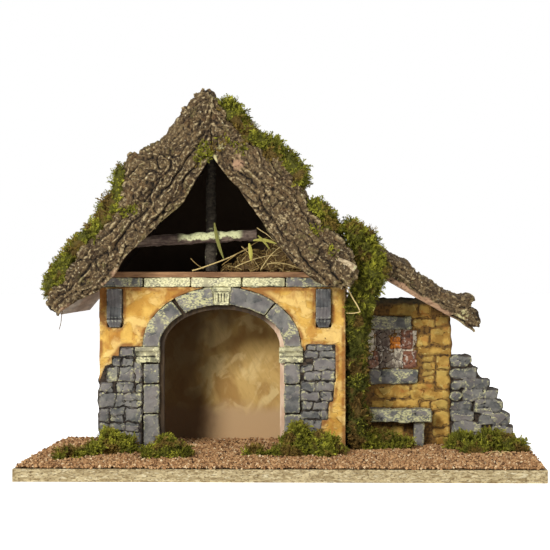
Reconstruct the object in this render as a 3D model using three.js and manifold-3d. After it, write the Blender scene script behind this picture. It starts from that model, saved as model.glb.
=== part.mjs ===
// Nativity stable: an arched house with an open hay loft, a bark roof and a lean-to annex on a board.
// Millimetres. +X right, +Y to the back, +Z up. The origin is the bottom centre of the base board.
import * as THREE from 'three';
import { mergeVertices } from 'three/addons/utils/BufferGeometryUtils.js';
import Module from 'manifold-3d';

const wasm = await Module();
wasm.setup();

// Clearances
const seat = 0.3;            // glue gap between two pieces
const joint = 1.2;           // mortar joint between two cut stones
const sliver = 0.05;         // smaller features that a cut leaves are dropped

// Base
const leftMargin = 59;       // board left of the house
const rightMargin = 12;      // board right of the boulders
const backMargin = 5;        // board behind the house
const boardDepth = 250;
const boardThickness = 12;
const gravelThickness = 2;
const gravelInset = 1.5;
const gravelPitch = 10;      // between the points of the gravel's surface
const gravelWave = 27;       // between its heaps
const gravelRelief = 1.9;    // from its hollows to its heaps

// House body
const houseWidth = 251;
const houseDepth = 115;      // from the stucco face to the rear wall's back
const panelThickness = 5;
const stuccoThickness = 3.7;
const sideThickness = 5;
const rearThickness = 5;
const plateHeight = 191;     // z where the roof's underside meets the outer faces of the side walls
const floorThickness = 5.4;
const floorNose = 2.5;       // how far the loft floor and the lintel stones stand out from the stucco

// Doorway
const archOffset = 0.5;      // left of the house's middle
const archWidth = 127.6;
const archRise = 42.7;
const panelReveal = 4.6;     // how far the front panel shows inside the arch stones
const ringWidth = 17;
const crownWidth = 18.3;
const stoneProud = 2;
const keystoneWidth = 16.9;
const keystoneFoot = 14.4;
const keystoneCap = 19.4;
const keystoneCapHeight = 4.3;
const keystoneProud = 4;
const leftRingJoint = [126, 129.5];  // degrees of the joint between the two left arch stones
const rightRingJoint = [46.5, 47.7];
const impostHeight = 16;
const impostWidth = 24;
const impostProud = 5;
const impostOverlap = 5;     // how far the right impost reaches into the doorway
const pierWidth = 16;
const pierJoints = [0.431, 0.7646];  // shares of the pier's height
const lintelHeight = 9.5;
const lintelJoints = [0.1793, 0.3721, 0.5797, 0.757];  // shares of the wall's width
const corbelWidth = 15;
const corbelHeight = 39;
const leftCorbelInset = 8.4;
const rightCorbelInset = 14.9;
const corbelDrop = 2;        // below the lintel stones
const corbelProud = 6;
const rubbleBed = 2.2;
const rubbleRelief = 3;
const rubbleGap = 1.6;       // between the left patch and the pier
const rubbleMargin = 10.4;   // between the right patch and the wall's edge

// Loft
const postOffset = 6.5;      // left of the ridge
const postSetback = 16;      // behind the stucco face
const postRadius = 6.4;
const postTopRadius = 4;
const railRadius = 5.6;
const railReach = 42;        // right of the ridge
const railHeight = 35;       // above the loft floor, at the post
const railTilt = 0.06;       // radians
const hayUnit = 10;          // the hay heap's sizes are given in these

// Roof
const ridgeOffset = 6.5;     // left of the house's middle
const roofRise = 143;        // from the side walls' outer faces to the ridge, along the roof's underside
const leftEaveReach = 31;    // beyond the left wall
const rightEaveReach = 3;    // beyond the right wall
const roofBoardThickness = 4;
const roofFrontReach = 41;   // in front of the stucco face
const roofBackReach = 2;     // behind the rear wall
const barkThickness = 24;    // the bark's heights and lips are given in shares of it
const barkOverhang = 8;      // how far the bark rolls over the front edge
const barkBackShare = 0.7;   // the bark's thickness at the back, as a share of that at the front
const barkFlat = 78;         // depth of the full-thickness strip behind the front edge
const barkPitch = 7;         // between the points of the bark's surface
const barkWave = 34;         // between its main ridges
const barkRelief = 4.4;      // from its furrows to its ridges
const seamCover = 1.07;      // how high the moss stays off the left slabs' seam, as a share of the bark there
const slabGap = 0.6;
const leftSplit = 108;       // where the upper and lower bark slabs meet, down the slope from the ridge
const rightSplit = 110;
const stubLength = 24;       // cut branch that sticks out under the right eave
const stubRadius = 5;
const stubTopRadius = 4.4;
const stubTurn = 0.5;        // radians below the horizontal
const stubRise = 13;         // its middle above the roof's underside

// Annex
const annexSetback = 60;     // of the annex stones' faces behind the stucco face
const annexThickness = 10;
const annexRelief = 2;       // depth of the joints between the ochre stones
const annexWidth = 109;
const annexHeight = 155;     // above the board
const leanPitch = 29.55;     // degrees
const leanGap = 8.8;         // between the house wall and the lean-to's upper end
const leanEaveReach = 21.8;  // beyond the annex wall's end, down the slope
const leanSetback = 10;      // behind the stucco face
const leanOverhang = 5;
const leanBoardThickness = 4;
const leanSplit = 56;        // where its two bark pieces meet
const annexShoulder = 17.8;  // how far the annex wall's right corner lies below its top
const nicheWidth = 53;
const nicheHeight = 41.5;
const nicheSill = 81.5;      // above the board
const nicheFromEnd = 34;     // between the niche and the annex wall's right end
const nicheDepth = 4;
const ledgeProud = 4;
const capHeight = 14;
const capWidth = 43;
const sillHeight = 15.5;
const sillWidth = 52.6;
const benchWidth = 66;
const benchDepth = 24;
const benchThickness = 13.7;
const benchUnderside = 26.9; // above the board
const benchFromHouse = 23.5;
const benchLegWidth = 11;
const benchLegDepth = 14;
const benchLegInset = 8;
const benchLegSetback = 8;
const boulderDepth = 20;
const boulderProud = 3;
const boulderReach = 69;     // beyond the annex wall's end
const boulderHeight = 96;
const mossUnit = 10;         // the moss cushions' sizes are given in these

// Levels and faces that follow from the sizes above
const groundZ = boardThickness;
const gravelTop = groundZ + gravelThickness;
const boardWidth = leftMargin + houseWidth + annexWidth + boulderReach + rightMargin;
const wallLeft = leftMargin - boardWidth / 2;
const wallRight = wallLeft + houseWidth;
const houseCentre = (wallLeft + wallRight) / 2;
const houseBack = boardDepth / 2 - backMargin;
const houseFront = houseBack - houseDepth;
const panelFace = houseFront + stuccoThickness + seat;
const panelBack = panelFace + panelThickness;
const floorZ = plateHeight - 0.5;
const wallTop = floorZ - seat;
const floorTop = floorZ + floorThickness;
const lintelBottom = wallTop - lintelHeight;
const springHeight = lintelBottom - crownWidth - archRise;
const archCentre = houseCentre - archOffset;
const archLeft = archCentre - archWidth / 2;
const archRight = archCentre + archWidth / 2;
const stoneBack = panelFace - seat;
const stoneFace = houseFront - stoneProud;
const leftImpost = [archLeft - impostWidth, archLeft];
const rightImpost = [archRight - impostOverlap, archRight - impostOverlap + impostWidth];
const leftPier = [archLeft - pierWidth, archLeft];
const rightPier = [archRight, archRight + pierWidth];
const leftRubble = [wallLeft, leftPier[0] - rubbleGap];
const rightRubble = [rightPier[1] + joint, wallRight - rubbleMargin];
const rubbleHeight = springHeight - groundZ;
const corbelTop = lintelBottom - corbelDrop;
const corbelLefts = [wallLeft + leftCorbelInset, wallRight - rightCorbelInset - corbelWidth];
const ridgeX = houseCentre - ridgeOffset;
const ridgeHeight = plateHeight + roofRise;
const roofFront = houseFront - roofFrontReach;
const roofBack = houseBack + roofBackReach;
const leftSlope = Math.atan((ridgeHeight - plateHeight) / (ridgeX - wallLeft));
const rightSlope = Math.atan((ridgeHeight - plateHeight) / (wallRight - ridgeX));
const annexLeft = wallRight + seat;
const annexRight = wallRight + annexWidth;
const annexTop = groundZ + annexHeight;
const annexFace = houseFront + annexSetback;
const annexBack = annexFace + annexThickness;
const leanSlope = THREE.MathUtils.degToRad(leanPitch);
const leanCornerZ = annexTop - annexShoulder;
const leanX = wallRight + leanGap;
const leanFront = houseFront + leanSetback;
const leanLength = (annexRight - leanX) / Math.cos(leanSlope) + leanEaveReach;
const leanZ = leanCornerZ + seat / Math.cos(leanSlope) + (annexRight - leanX) * Math.tan(leanSlope);

// Materials: colour, roughness and metalness as in the finished object
function finish(color, roughness) {
  return new THREE.MeshStandardMaterial({ color, roughness, metalness: 0 });
}

const finishes = {
  chipboard: () => finish(0xc2b48f, 0.85),
  gravel: () => finish(0xb98d6c, 0.95),
  fibreboard: () => finish(0xc9ac84, 0.8),
  painted: () => finish(0xd9bd7c, 0.75),
  stucco: () => finish(0xd9a94e, 0.9),
  stone: () => finish(0x70767a, 0.85),
  paleStone: () => finish(0xb9b98a, 0.85),
  ochreStone: () => finish(0xa87c2c, 0.85),
  brick: () => finish(0x8e6f66, 0.9),
  plywood: () => finish(0x9b6a3c, 0.75),
  wood: () => finish(0x5b4c3e, 0.85),
  lichenWood: () => finish(0xa8a67c, 0.85),
  bark: () => finish(0x6b6055, 0.95),
  roofBoard: () => finish(0xa2968a, 0.8),
  hay: () => finish(0x9c8247, 0.95),
  moss: () => finish(0x59681c, 1.0),
};

// Geometry helpers

// A box given by its lowest and highest corners.
function block(x0, x1, y0, y1, z0, z1) {
  const geometry = new THREE.BoxGeometry(x1 - x0, y1 - y0, z1 - z0);
  return geometry.translate((x0 + x1) / 2, (y0 + y1) / 2, (z0 + z1) / 2);
}

// An upright plate: an outline of [x, z] points, from y0 at the front to y1 at the back.
function plate(outline, y0, y1) {
  const shape = new THREE.Shape(outline.map(([x, z]) => new THREE.Vector2(x, z)));
  const geometry = new THREE.ExtrudeGeometry(shape, { depth: y1 - y0, bevelEnabled: false });
  return geometry.rotateX(Math.PI / 2).translate(0, y1, 0);
}

// A stone with chamfered front edges: face at y0, flat back at y1.
function dressedStone(x0, x1, z0, z1, y0, y1, chamfer) {
  const cut = chamfer * 0.8;
  const corners = [
    [x0 + cut, z0 + chamfer], [x0 + 2 * cut, z0 + cut],
    [x1 - 2 * cut, z0 + cut], [x1 - cut, z0 + 2 * chamfer],
    [x1 - cut, z1 - chamfer], [x1 - 2 * cut, z1 - cut],
    [x0 + 2 * cut, z1 - cut], [x0 + cut, z1 - 2 * chamfer],
  ];
  const shape = new THREE.Shape(corners.map(([x, z]) => new THREE.Vector2(x, z)));
  const depth = y1 - y0 - chamfer;
  const bevel = { bevelEnabled: true, bevelThickness: chamfer, bevelSize: cut, bevelSegments: 1 };
  const geometry = new THREE.ExtrudeGeometry(shape, { depth, ...bevel });
  const solid = toSolid(geometry.rotateX(Math.PI / 2).translate(0, y1, 0));
  return solid.subtract(toSolid(block(x0 - 1, x1 + 1, y1, y1 + 2 * chamfer, z0 - 1, z1 + 1)));
}

// Joins rings of points into one closed solid. Every ring has the same number of points in the same order.
function loft(rings, capOutline) {
  const count = rings[0].length;
  const positions = rings.flat(2);
  const indices = [];
  for (let ring = 0; ring < rings.length - 1; ring += 1) {
    for (let i = 0; i < count; i += 1) {
      const a = ring * count + i;
      const b = ring * count + (i + 1) % count;
      indices.push(a, b, b + count, a, b + count, a + count);
    }
  }
  const outline = capOutline.map(([x, y]) => new THREE.Vector2(x, y));
  const clockwise = THREE.ShapeUtils.isClockWise(outline);
  const last = (rings.length - 1) * count;
  for (const triangle of THREE.ShapeUtils.triangulateShape(outline, [])) {
    const [a, b, c] = clockwise ? triangle.reverse() : triangle;
    indices.push(c, b, a, last + a, last + b, last + c);
  }
  const geometry = new THREE.BufferGeometry();
  geometry.setAttribute('position', new THREE.Float32BufferAttribute(positions, 3));
  geometry.setIndex(facingOut(positions, indices));
  return geometry;
}

// Turns every triangle round if the solid's signed volume is negative.
function facingOut(positions, indices) {
  const corner = (i) => new THREE.Vector3().fromArray(positions, 3 * indices[i]);
  let volume = 0;
  for (let i = 0; i < indices.length; i += 3) {
    volume += corner(i).dot(corner(i + 1).cross(corner(i + 2)));
  }
  return volume > 0 ? indices : indices.reverse();
}

function toSolid(geometry) {
  const bare = geometry.clone();
  bare.deleteAttribute('normal');
  bare.deleteAttribute('uv');
  const merged = mergeVertices(bare, 1e-4);
  const mesh = new wasm.Mesh({
    numProp: 3,
    vertProperties: new Float32Array(merged.attributes.position.array),
    triVerts: new Uint32Array(merged.index.array),
  });
  return new wasm.Manifold(mesh);
}

function toGeometry(solid) {
  const mesh = solid.getMesh();
  const geometry = new THREE.BufferGeometry();
  geometry.setAttribute('position', new THREE.BufferAttribute(new Float32Array(mesh.vertProperties), 3));
  geometry.setIndex(new THREE.BufferAttribute(new Uint32Array(mesh.triVerts), 1));
  return geometry;
}

function join(solids) {
  return solids.reduce((all, next) => all.add(next));
}

// Cuts a neighbour out of a solid with the glue gap left all round it.
function clearOf(solid, neighbours) {
  let rest = solid;
  for (const neighbour of neighbours) {
    for (const dx of [-seat, seat]) {
      for (const dy of [-seat, seat]) {
        for (const dz of [-seat, seat]) {
          rest = rest.subtract(neighbour.translate([dx, dy, dz]));
        }
      }
    }
  }
  return rest.simplify(sliver);
}

// The same in the plane of the wall only, for pieces inlaid side by side.
function inlaid(solid, neighbours) {
  let rest = solid;
  for (const neighbour of neighbours) {
    for (const dx of [-seat, seat]) {
      for (const dz of [-seat, seat]) {
        rest = rest.subtract(neighbour.translate([dx, 0, dz]));
      }
    }
  }
  return rest;
}

function addMesh(group, name, shape, material) {
  const geometry = shape.isBufferGeometry ? shape : toGeometry(shape);
  const mesh = new THREE.Mesh(geometry, material);
  mesh.name = name;
  group.add(mesh);
  return mesh;
}

// Height of the roof's underside above a point on the house's width
function roofUnderside(x) {
  return x < ridgeX
    ? ridgeHeight - (ridgeX - x) * Math.tan(leftSlope)
    : ridgeHeight - (x - ridgeX) * Math.tan(rightSlope);
}

// Base board and gravel
function buildBase(group, standing) {
  const board = new THREE.BoxGeometry(boardWidth, boardDepth, boardThickness);
  addMesh(group, 'base_board', board, finishes.chipboard()).position.z = boardThickness / 2;
  const halfWidth = boardWidth / 2 - gravelInset;
  const halfDepth = boardDepth / 2 - gravelInset;
  const bed = clearOf(gravelBed(halfWidth, halfDepth), standing);
  addMesh(group, 'gravel_bed', bed, finishes.gravel());
  return bed;
}

// Evenly spaced values from one to another, both included
function spaced(from, to, pitch) {
  const steps = Math.max(1, Math.round((to - from) / pitch));
  return Array.from({ length: steps + 1 }, (_, i) => from + (to - from) * i / steps);
}

// The gravel's level: low heaps and hollows about the height gravelTop
function gravelLevel(x, y) {
  const k = 2 * Math.PI / gravelWave;
  const across = Math.sin(k * x + 1.5 * Math.sin(k * y / 2.3));
  const deep = Math.sin(k * y * 0.85 + 1.3 * Math.sin(k * x / 2.9 + 1));
  return gravelTop + gravelRelief / 2 * (0.55 * across + 0.45 * deep);
}

function gravelBed(halfWidth, halfDepth) {
  const low = groundZ + seat;
  const ys = spaced(-halfDepth, halfDepth, gravelPitch);
  const sections = spaced(-halfWidth, halfWidth, gravelPitch).map((x) => (
    [[x, halfDepth, low], [x, -halfDepth, low], ...ys.map((y) => [x, y, gravelLevel(x, y)])]
  ));
  return toSolid(loft(sections, sections[0].map(([, y, z]) => [y, z])));
}

// Doorway stones

// A point of an ellipse round the arch's springing centre, kept below the lintel stones.
function archPoint(width, rise, angle) {
  const x = archCentre + width * Math.cos(angle);
  const z = springHeight + rise * Math.sin(angle);
  return [x, Math.min(z, lintelBottom - seat)];
}

function arc(width, rise, from, to, steps) {
  const points = [];
  for (let i = 0; i <= steps; i += 1) {
    points.push(archPoint(width, rise, from + (to - from) * i / steps));
  }
  return points;
}

const innerHalf = archWidth / 2;
const outerHalf = innerHalf + ringWidth;
const outerRise = archRise + crownWidth;

function voussoir(fromDegrees, toDegrees) {
  const from = THREE.MathUtils.degToRad(fromDegrees);
  const to = THREE.MathUtils.degToRad(toDegrees);
  const inner = arc(innerHalf, archRise, from, to, 6);
  const outer = arc(outerHalf, outerRise, from, to, 6);
  return toSolid(plate([...inner, ...outer.reverse()], stoneFace, stoneBack));
}

function keystone() {
  const top = lintelBottom - seat;
  const foot = springHeight + archRise;
  const neck = top - keystoneCapHeight;
  const outline = [
    [archCentre - keystoneFoot / 2, foot], [archCentre + keystoneFoot / 2, foot],
    [archCentre + keystoneWidth / 2, neck], [archCentre + keystoneCap / 2, neck],
    [archCentre + keystoneCap / 2, top], [archCentre - keystoneCap / 2, top],
    [archCentre - keystoneCap / 2, neck], [archCentre - keystoneWidth / 2, neck],
  ];
  return toSolid(plate(outline, houseFront - keystoneProud, stoneBack));
}

// An impost block: a slab over a hollow neck over a fillet, run along X.
function impost(x0, x1) {
  const face = houseFront - impostProud;
  const low = springHeight - impostHeight;
  const top = springHeight - seat;
  const neck = 0.52 * impostProud;
  const profile = [
    [stoneBack, low], [face + 0.48 * impostProud, low],
    [face + 0.24 * impostProud, low + 0.19 * impostHeight],
    [face + neck, low + 0.31 * impostHeight], [face + neck, low + 0.59 * impostHeight],
    [face, low + 0.72 * impostHeight], [face, top], [stoneBack, top],
  ];
  const shape = new THREE.Shape(profile.map(([y, z]) => new THREE.Vector2(y, z)));
  const geometry = new THREE.ExtrudeGeometry(shape, { depth: x1 - x0, bevelEnabled: false });
  const turn = new THREE.Matrix4().set(0, 0, 1, x0, 1, 0, 0, 0, 0, 1, 0, 0, 0, 0, 0, 1);
  return toSolid(geometry.applyMatrix4(turn));
}

// Three pier blocks from the board up to the impost.
function pierBlocks(x0, x1) {
  const low = groundZ + seat;
  const top = springHeight - impostHeight - joint;
  const levels = [low, ...pierJoints.map((share) => groundZ + share * (top - groundZ)), top];
  return [0, 1, 2].map((i) => {
    const foot = i === 0 ? low : levels[i] + joint;
    return dressedStone(x0, x1, foot, levels[i + 1], stoneFace, stoneBack, 0.8);
  });
}

// Rubble patches: a thin bed with coursed stones standing out of it. Each course has a height above the
// board and a height of its own, in per cent of the springing's height above the board, and its stones'
// left edges and widths, in per cent of the patch's width.
const leftCourses = [
  { low: 0.9, height: 17.6, stones: [[2.3, 27.5], [32.1, 32.1], [66.5, 31]] },
  { low: 19.5, height: 7.9, stones: [[1.4, 19.5], [23.4, 35.1], [61.9, 32.1]] },
  { low: 28.8, height: 4.6, stones: [[25.7, 30.7]] },
  { low: 28.8, height: 13, stones: [[1.4, 21.6], [62.6, 35.8]] },
  { low: 34.6, height: 7.4, stones: [[25.9, 33.9]] },
  { low: 43, height: 13.7, stones: [[1.4, 34.4], [38.1, 18.3]] },
  { low: 43, height: 5.4, stones: [[59.2, 39]] },
  { low: 49.5, height: 6.5, stones: [[59.2, 39]] },
  { low: 57.8, height: 7.4, stones: [[1.4, 29.8], [41.7, 39], [84.9, 13.8]] },
  { low: 66.7, height: 13.9, stones: [[18.3, 24.1], [46.8, 33.5]] },
  { low: 66.7, height: 18.1, stones: [[83.9, 14.2]] },
  { low: 81.7, height: 7.4, stones: [[32.6, 17.2], [53.7, 26.1]] },
  { low: 90.5, height: 7.9, stones: [[50, 30.3]] },
];
const rightCourses = [
  { low: 0.9, height: 14.9, stones: [[1.7, 46.2]] },
  { low: 17.2, height: 13.9, stones: [[1.7, 34.7], [39.9, 17.3]] },
  { low: 32.5, height: 7, stones: [[1.7, 52], [57.8, 17.3]] },
  { low: 40.9, height: 7, stones: [[1.7, 28.9], [34.7, 41.6]] },
  { low: 49.2, height: 7.4, stones: [[1.7, 53.2], [59.5, 30.1]] },
  { low: 58.1, height: 8.4, stones: [[1.7, 38.7], [44.5, 50.9]] },
  { low: 68.1, height: 7.6, stones: [[11.6, 46.2], [61.6, 36.4]] },
  { low: 77.1, height: 6, stones: [[1.7, 31.8]] },
  { low: 77.3, height: 10.7, stones: [[38.2, 59]] },
  { low: 89.6, height: 5.4, stones: [[12.1, 40.5]] },
  { low: 89.6, height: 5.6, stones: [[57.8, 39.3]] },
  { low: 96.6, height: 4.6, stones: [[17.3, 27.2], [49.1, 45.1]] },
];

function rubblePatch([x0, x1], bed, courses, joined) {
  const relief = panelFace - rubbleBed - rubbleRelief;
  const acrossUnit = (x1 - x0) / 100;
  const upUnit = rubbleHeight / 100;
  const stones = courses.flatMap(({ low, height, stones: row }) => row.map(([from, width]) => {
    const left = x0 + from * acrossUnit;
    const foot = groundZ + low * upUnit;
    const right = left + width * acrossUnit;
    return dressedStone(left, right, foot, foot + height * upUnit, relief, stoneBack - 0.5, 0.9);
  }));
  const backing = toSolid(plate(bed, panelFace - rubbleBed - seat, stoneBack));
  return inlaid(join([backing, ...stones]), joined);
}

// A point given in per cent of the patch's width and of the springing's height above the board
function patchPoint(x0, x1, [across, up]) {
  return [x0 + (x1 - x0) * across / 100, groundZ + Math.max(rubbleHeight * up / 100, seat)];
}

// The left patch climbs in ragged steps from the wall's edge to the impost.
function leftRubbleBed(x0, x1) {
  const steps = [[0, 65.9], [13.8, 81.7], [29.8, 83.6], [29.8, 91], [47, 91], [47, 99.8], [100, 99.8]];
  const top = steps.map((step) => patchPoint(x0, x1, step)).reverse();
  return [[x0, groundZ + seat], [x1, groundZ + seat], ...top];
}

// The right patch narrows in steps towards the board.
function rightRubbleBed(x0, x1) {
  const edge = [
    [52, 0], [59.2, 31.6], [78, 31.6], [80.9, 48.3], [92.5, 48.3], [96.8, 66.9],
    [100, 66.9], [100, 102.1], [14.5, 102.1], [14.5, 96.1], [0, 96.1],
  ];
  return [[0, 0], ...edge].map((step) => patchPoint(x0, x1, step));
}

// House: panel, stucco, walls and loft floor
function buildHouse(group) {
  const stones = doorwayStones();
  const doorLeft = archLeft + panelReveal;
  const doorRight = archRight - panelReveal;
  const panelArch = arc(innerHalf - panelReveal, archRise - panelReveal, 0, Math.PI, 20);
  const panelOutline = [
    [wallLeft, groundZ + seat], [doorLeft, groundZ + seat], ...panelArch.reverse(),
    [doorRight, groundZ + seat], [wallRight, groundZ + seat], [wallRight, wallTop], [wallLeft, wallTop],
  ];
  addMesh(group, 'front_panel', plate(panelOutline, panelFace, panelBack), finishes.fibreboard());

  for (const [name, solid, material] of stones) {
    addMesh(group, name, solid, material);
  }
  buildStucco(group);

  const sides = [['side_wall_left', wallLeft], ['side_wall_right', wallRight - sideThickness]];
  const wallBack = houseBack - rearThickness - seat;
  for (const [name, x] of sides) {
    const wall = block(x, x + sideThickness, panelBack + seat, wallBack, groundZ + seat, wallTop);
    addMesh(group, name, wall, finishes.painted());
  }

  const rise = seat / Math.cos(leftSlope);
  const rearOutline = [
    [wallLeft, groundZ + seat], [wallRight, groundZ + seat], [wallRight, plateHeight - rise],
    [ridgeX, ridgeHeight - rise], [wallLeft, plateHeight - rise],
  ];
  addMesh(group, 'rear_wall', plate(rearOutline, houseBack - rearThickness, houseBack), finishes.painted());

  const inset = floorTop - plateHeight + 2 * rise;
  const floorOutline = [
    [wallLeft, floorZ], [wallRight, floorZ],
    [wallRight - inset / Math.tan(rightSlope), floorTop],
    [wallLeft + inset / Math.tan(leftSlope), floorTop],
  ];
  addMesh(group, 'loft_floor', plate(floorOutline, houseFront - floorNose, wallBack), finishes.plywood());
}

// A beam end under the eaves
function corbel(x, y0, y1) {
  return toSolid(block(x, x + corbelWidth, y0, y1, corbelTop - corbelHeight, corbelTop));
}

// Every stone of the facade, as [name, solid, material]
function doorwayStones() {
  const key = keystone();
  const ring = [
    ['voussoir_left_lower', 180, leftRingJoint[1]], ['voussoir_left_upper', leftRingJoint[0], 90],
    ['voussoir_right_upper', 90, rightRingJoint[1]], ['voussoir_right_lower', rightRingJoint[0], 0],
  ].map(([name, from, to]) => [name, inlaid(voussoir(from, to), [key]), finishes.stone()]);

  const imposts = [impost(...leftImpost), impost(...rightImpost)];
  const piers = [['left', leftPier], ['right', rightPier]].flatMap(([side, [x0, x1]]) => (
    pierBlocks(x0, x1).map((solid, i) => [`pier_${side}_${i + 1}`, solid, finishes.stone()])
  ));

  const leftBed = leftRubbleBed(...leftRubble);
  const rightBed = rightRubbleBed(...rightRubble);
  const rubble = [
    ['rubble_left', rubblePatch(leftRubble, leftBed, leftCourses, imposts), finishes.stone()],
    ['rubble_right', rubblePatch(rightRubble, rightBed, rightCourses, imposts), finishes.stone()],
  ];

  const corbels = corbelLefts.map((x, side) => [
    side ? 'corbel_right' : 'corbel_left', corbel(x, houseFront - corbelProud, stoneBack), finishes.stone(),
  ]);

  const lintelEnds = [0, ...lintelJoints, 1].map((share) => share * houseWidth);
  const lintels = lintelEnds.slice(1).map((end, i) => {
    const x0 = wallLeft + lintelEnds[i] + joint / 2;
    const x1 = wallLeft + end - joint / 2;
    const solid = dressedStone(x0, x1, lintelBottom, wallTop, houseFront - floorNose, stoneBack, 0.7);
    return [`lintel_${i + 1}`, solid, finishes.paleStone()];
  });

  return [
    ...ring, ['keystone', key, finishes.paleStone()],
    ['impost_left', imposts[0], finishes.paleStone()], ['impost_right', imposts[1], finishes.paleStone()],
    ...piers, ...rubble, ...corbels, ...lintels,
  ];
}

// The stucco fills what the stones leave free, left and right of the doorway.
function buildStucco(group) {
  const top = lintelBottom - seat;
  const front = houseFront - 1;
  const ring = arc(outerHalf + seat, outerRise + seat, Math.PI, 0, 24);
  const openTop = ring.map(([x, z]) => [x, z >= top - 0.01 ? top + 5 : z]);
  const zoneLeft = archLeft - pierWidth - joint;
  const zoneRight = archRight + pierWidth + joint;
  const archZone = toSolid(plate([
    [zoneLeft, 0], [zoneLeft, springHeight], ...openTop, [zoneRight, springHeight], [zoneRight, 0],
  ], front, panelFace + 1));
  const impostZ = springHeight - impostHeight;
  const impostTop = springHeight - seat;
  const inlays = [
    toSolid(plate(leftRubbleBed(...leftRubble), front, panelFace)),
    toSolid(plate(rightRubbleBed(...rightRubble), front, panelFace)),
    ...[leftImpost, rightImpost].map(([x0, x1]) => (
      toSolid(block(x0, x1, front, panelFace, impostZ, impostTop))
    )),
    ...corbelLefts.map((x) => corbel(x, front, panelFace)),
  ];
  const halves = [['stucco_left', wallLeft, archCentre], ['stucco_right', archCentre, wallRight]];
  for (const [name, x0, x1] of halves) {
    const half = toSolid(block(x0, x1, houseFront, stoneBack, groundZ + seat, top));
    addMesh(group, name, largest(inlaid(half.subtract(archZone), inlays)), finishes.stucco());
  }
}

// The biggest piece of a solid that cuts may have split
function largest(solid) {
  const parts = solid.decompose();
  return parts.reduce((best, next) => (next.volume() > best.volume() ? next : best));
}

// Roof

// A slope's own directions: along it from its top edge, and out of it.
function slopeFrame(x, z, angle, side) {
  return {
    tangent: Math.tan(angle),
    point: (along, y, out) => [
      x + side * (along * Math.cos(angle) + out * Math.sin(angle)),
      y,
      z - along * Math.sin(angle) + out * Math.cos(angle),
    ],
  };
}

// Height of the bark's main ridges and furrows at a place of its slope. They run down it, bend and break.
function barkHeight(along, y) {
  const k = 2 * Math.PI / barkWave;
  const across = Math.sin(k * y + 1.4 * Math.sin(k * along / 2.3) + 0.5 * Math.sin(k * along + 1));
  const broken = Math.sin(k * along / 1.4 + 1.2 * Math.sin(k * y / 1.7 + 2));
  const knots = Math.sin(k * along * 1.5 - k * y + 1) * Math.sin(k * y * 1.4 + k * along / 2);
  return barkRelief / 2 * (0.5 * across + 0.25 * broken + 0.25 * knots);
}

// A bark slab's section: it lies on the board, rolls over its front edge and hangs down as a lip. A thin
// end has less relief. It can be grown all round, except at the back.
function barkSection(along, top, lip, { front, boardFront, back, bed }, grown) {
  const innerLip = boardFront - seat + grown;
  const rest = bed + seat - grown;
  const roll = boardFront - front;
  const crown = [
    [front + 0.75 * roll, top * 0.94], [front + 1.5 * roll, top], [front + barkFlat, top],
    [back - 2.5 * roll, top * (1 + barkBackShare) / 2], [back, top * barkBackShare],
  ];
  const share = THREE.MathUtils.clamp((top * barkBackShare - rest) / (1.5 * barkRelief), 0, 1);
  const surface = spaced(crown[0][0], back, barkPitch).map((y) => (
    [y, sampleLine(crown, y) + share * barkHeight(along, y) + grown]
  ));
  const face = [
    [front + 0.25 * roll, -lip], [front + 0.04 * roll, -lip * 0.5], [front, top * 0.25],
    [front + 0.175 * roll, top * 0.7],
  ].map(([y, out]) => [y + share * (barkRelief / 2 - barkHeight(along, 2 * out)) / 2 - grown, out]);
  return [[back, rest], [innerLip, rest], [innerLip, 0.25 * roll - lip - grown], ...face, ...surface];
}

// A slab's stations with as many between them as the bark's pitch asks for
function finerStations({ stations, start, end }) {
  const length = end - start(0);
  const between = stations.slice(1).flatMap(([share, top, lip], i) => {
    const [share0, top0, lip0] = stations[i];
    const steps = spaced(0, 1, barkPitch / ((share - share0) * length)).slice(1);
    const mix = (from, to, t) => from + (to - from) * t;
    return steps.map((t) => [mix(share0, share, t), mix(top0, top, t), mix(lip0, lip, t)]);
  });
  return [stations[0], ...between];
}

// A slab runs from its start to its end along the slope. Each station has its share of that run, the
// bark's height above the board's underside there, and how far its lip hangs below that underside, both in
// shares of the bark's thickness. What is fitted to a slab is cut with the slab grown by the glue gap.
function barkSlab(slab, grown = 0) {
  const stations = finerStations(slab);
  const place = (share, out) => {
    const start = slab.start(out) - grown;
    return start + (slab.end + grown - start) * share;
  };
  const sections = stations.map(([share, top, lip]) => (
    barkSection(place(share, 0), top * barkThickness, lip * barkThickness, slab, grown)
  ));
  const rings = sections.map((section, i) => (
    section.map(([y, out]) => slab.frame.point(place(stations[i][0], out), y, out))
  ));
  return toSolid(loft(rings, sections[0]));
}

// The slab's top line as [along, out] points
function topLine(slab) {
  return slab.stations.map(([share, thickness]) => {
    const top = thickness * barkThickness;
    const start = slab.start(top);
    return [start + (slab.end - start) * share, top];
  });
}

function sampleLine(line, along) {
  const next = line.findIndex(([x]) => x >= along);
  if (next <= 0) {
    return next === 0 ? line[0][1] : line[line.length - 1][1];
  }
  const [x0, y0] = line[next - 1];
  const [x1, y1] = line[next];
  return y0 + (y1 - y0) * (along - x0) / (x1 - x0);
}

// A cushion of moss along a slope's top line, fitted to the bark under it
function mossBand({ frame, line, from, to, front, back, height, slabs }) {
  const alongs = spaced(from, to, mossUnit);
  const sections = alongs.map((along, i) => {
    const atEnd = i === 0 || i === alongs.length - 1;
    const level = sampleLine(line, along);
    const low = level - 1.2 * barkRelief;
    const full = level + height * (atEnd ? 0.5 : 0.9 + 0.1 * Math.sin(3 * along / mossUnit));
    const middle = (level + full) / 2;
    return [
      [back, low], [front, low], [front - 0.15 * mossUnit, middle], [front + 0.6 * mossUnit, full],
      [back - 1.8 * mossUnit, full], [back - 0.3 * mossUnit, middle],
    ];
  });
  const rings = sections.map((section, i) => section.map(([y, out]) => frame.point(alongs[i], y, out)));
  const band = toSolid(loft(rings, sections[0]));
  return largest(band.subtract(join(slabs)).simplify(sliver));
}

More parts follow.
